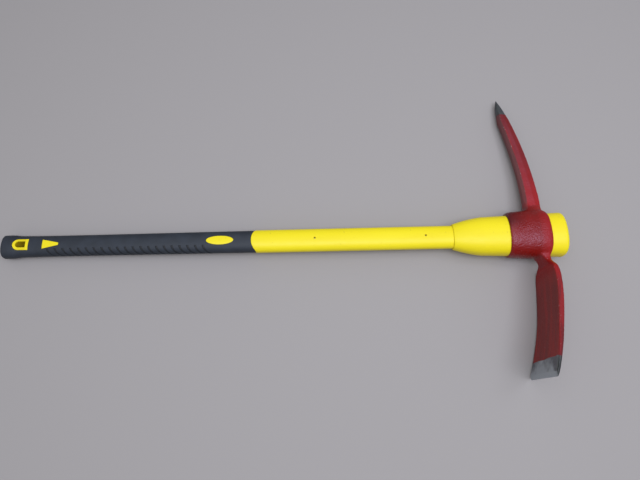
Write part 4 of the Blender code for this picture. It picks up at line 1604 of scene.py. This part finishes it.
        # Soil rubbed in and painted light pale the blade's broad faces; a film with a painted highlight
        # lies on the eye's low end
        soiled_and_lit = ramp(on_blade[:, 0], *self.soiled_and_lit_start) * ~pick_side
        rubbed = self.soiled_and_lit_share * soiled_and_lit * facing(np.abs(normals[:, 0]), self.broad_gain)
        film_and_highlight = self.low_end_share * fade(points[:, 0], self.eye_low, self.low_end_reach)
        film_and_highlight *= np.clip(self.low_end_taper - np.abs(points[:, 1]) / self.low_end_width, 0.0, 1.0)
        # Painted shade and floor reflection grey the pick's inner side
        inner_side = facing(-normals[:, 0], self.side_gain) * ramp(run, 0.0, self.inner_side_rise)
        # Darker on the eye's upper back; painted shade on the blade's narrow sides towards the edge
        upper_back = fade(points[:, 0], self.eye_low, self.back_darkening_reach) * (points[:, 2] > 0)
        upper_back *= ramp(points[:, 1], 0.0, self.back_darkening_width)
        side_face = facing(np.abs(normals[:, 2]), self.side_gain)
        along_side = side_face * ~pick_side * ramp(on_blade[:, 0], 0.0, self.blade.reach)
        on_back, on_side = self.darkening_shares
        marks = {
            "paint_margin": margin,
            "ground_bevel": on_bevel.astype(np.float64),
            "lit_rim_and_bright_roots": np.maximum(by_arm, lit_rim * (run < self.lit_rim_run_limit)),
            "soil_and_painted_light": np.maximum(rubbed, film_and_highlight),
            "inner_side_shade_and_reflection": self.inner_side_share * inner_side * pick_side,
            "back_darkening_and_side_shade": np.maximum(on_back * upper_back, on_side * along_side),
            "steel_scale": np.where(pick_side, self.point_scale, side_face),
            "edge_wear": self.edge_wear(points, normals, edges_of(head)),
        }
        save_attribute(head, "arm_place", "FLOAT_VECTOR", arm)
        for name, values in marks.items():
            save_attribute(head, name, "FLOAT", values)

    def edge_wear(self, points: np.ndarray, normals: np.ndarray, edges: np.ndarray) -> np.ndarray:
        """How far, from 0 to 1, each point stands on an edge that bends outwards."""
        first, second = edges[:, 0], edges[:, 1]
        span = points[second] - points[first]
        length = np.maximum(1e-6, np.linalg.norm(span, axis=1))
        bend = ((normals[second] - normals[first]) * span).sum(axis=1) / length**2
        total = np.bincount(first, bend, len(points)) + np.bincount(second, bend, len(points))
        count = np.bincount(edges.ravel(), minlength=len(points))
        return np.clip(total / np.maximum(1, count) / self.full_wear, 0.0, 1.0)

    def dress(self, head: Thing) -> None:
        """Give it its paint and lay it down."""
        paint = SprayedEnamelOnForging("sprayed_enamel_on_forging").material()
        lay_down(head, "mattock_head", paint)


@dataclass(frozen=True)
class Panel:
    """A level soft light that faces down."""

    name: str
    size: tuple[float, float]
    power: float
    place: Triple
    colour: str = "EAF1FF"

    def hang(self) -> None:
        """Put the light in the scene."""
        lamp = bpy.data.lights.new(self.name, "AREA")
        lamp.shape = "ELLIPSE"
        lamp.size, lamp.size_y = self.size
        lamp.energy = self.power
        lamp.color = linear(self.colour)[:3]
        panel = bpy.data.objects.new(self.name, lamp)
        panel.location = self.place
        bpy.context.scene.collection.objects.link(panel)


@dataclass(frozen=True)
class Studio:
    """Pale plain floor, soft light and the camera where the photographer stood."""

    floor_colour: str = "97918E"
    floor_half: float = 4.0
    floor_roughness: float = 0.9
    sky_colour: str = "EFF3FA"
    sky_strength: Span = (0.14, 0.58)
    full_from: float = 0.55
    panels: tuple[Panel, ...] = (
        Panel("long_panel", (2.6, 1.2), 47.5, (0.45, -0.45, 2.4)),
        Panel("top_panel", (0.9, 0.9), 3.6, (-0.05, 0.10, 1.30)),
        Panel("eye_panel", (0.5, 0.4), 2.8, (0.98, 0.22, 1.30)),
    )
    camera_place: Triple = (0.0437, -0.2101, 0.8216)
    camera_turn: Triple = (13.858, -0.871, -1.209)
    lens: float = 28.01
    sensor: float = 36.0

    def build(self) -> None:
        """Lay the floor, hang the lights and set up the camera."""
        half = self.floor_half
        corners = [(-half, -half), (half, -half), (half, half), (-half, half)]
        work = bmesh.new()
        work.faces.new([work.verts.new((x, y, 0.0)) for x, y in corners])
        floor = link_mesh("pale_floor", work)
        floor.data.materials.append(self.floor_material())
        bpy.context.scene.world = self.sky()
        for panel in self.panels:
            panel.hang()
        lens = bpy.data.cameras.new("photographer")
        lens.sensor_width = self.sensor
        lens.lens = self.lens
        camera = bpy.data.objects.new("photographer", lens)
        camera.location = self.camera_place
        camera.rotation_euler = [math.radians(a) for a in self.camera_turn]
        bpy.context.scene.collection.objects.link(camera)
        bpy.context.scene.camera = camera
        # A plain tone curve keeps the lemon yellow as full as the eye sees it
        bpy.context.scene.view_settings.view_transform = "Standard"

    def sky(self) -> bpy.types.World:
        """A cloudy sky, bright overhead and dim at the horizon."""
        world = bpy.data.worlds.new("soft_sky")
        world.use_nodes = True
        add = partial(add_node, world.node_tree)
        direction = add("ShaderNodeTexCoord")["Generated"]
        height = add(PARTS, {0: direction})[2]
        strength = add(RANGE, {"Value": height, **limits((0.0, self.full_from), self.sky_strength)})[0]
        background = world.node_tree.nodes["Background"]
        background.inputs["Color"].default_value = linear(self.sky_colour)
        world.node_tree.links.new(strength, background.inputs["Strength"])
        return world

    def floor_material(self) -> Material:
        """Plain pale grey, matt."""
        material = bpy.data.materials.new("pale_floor")
        material.use_nodes = True
        return Finish.end(material, Base_Color=linear(self.floor_colour), Roughness=self.floor_roughness)


def main() -> None:
    """Build the tool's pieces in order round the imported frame, and the studio that they lie in."""
    logging.basicConfig(level=logging.INFO, format="%(message)s", stream=sys.stdout)
    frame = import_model()
    handle = HandleShape()
    pads = Pads()
    skin = OvalSkin()
    yellow = MouldedPolypropylene("moulded_polypropylene").material()
    grip = RubberGrip(handle, pads, skin)
    grip.dress(grip.build())
    jacket = HandleJacket(handle, pads, skin)
    jacket.dress(jacket.build(), yellow)
    sleeve = HeadEndSleeve(handle, skin)
    sleeve.dress(sleeve.build(), yellow)
    head = MattockHead(handle, skin)
    head.dress(head.build())
    core = frame["nodes"]["fiberglass_core"]
    core.material_slots[0].material = PultrudedGlassFibre("pultruded_glass_fibre").material()
    log.info("%s: the CAD node in its own finish", core.name)
    Studio().build()


if __name__ == "__main__":
    main()
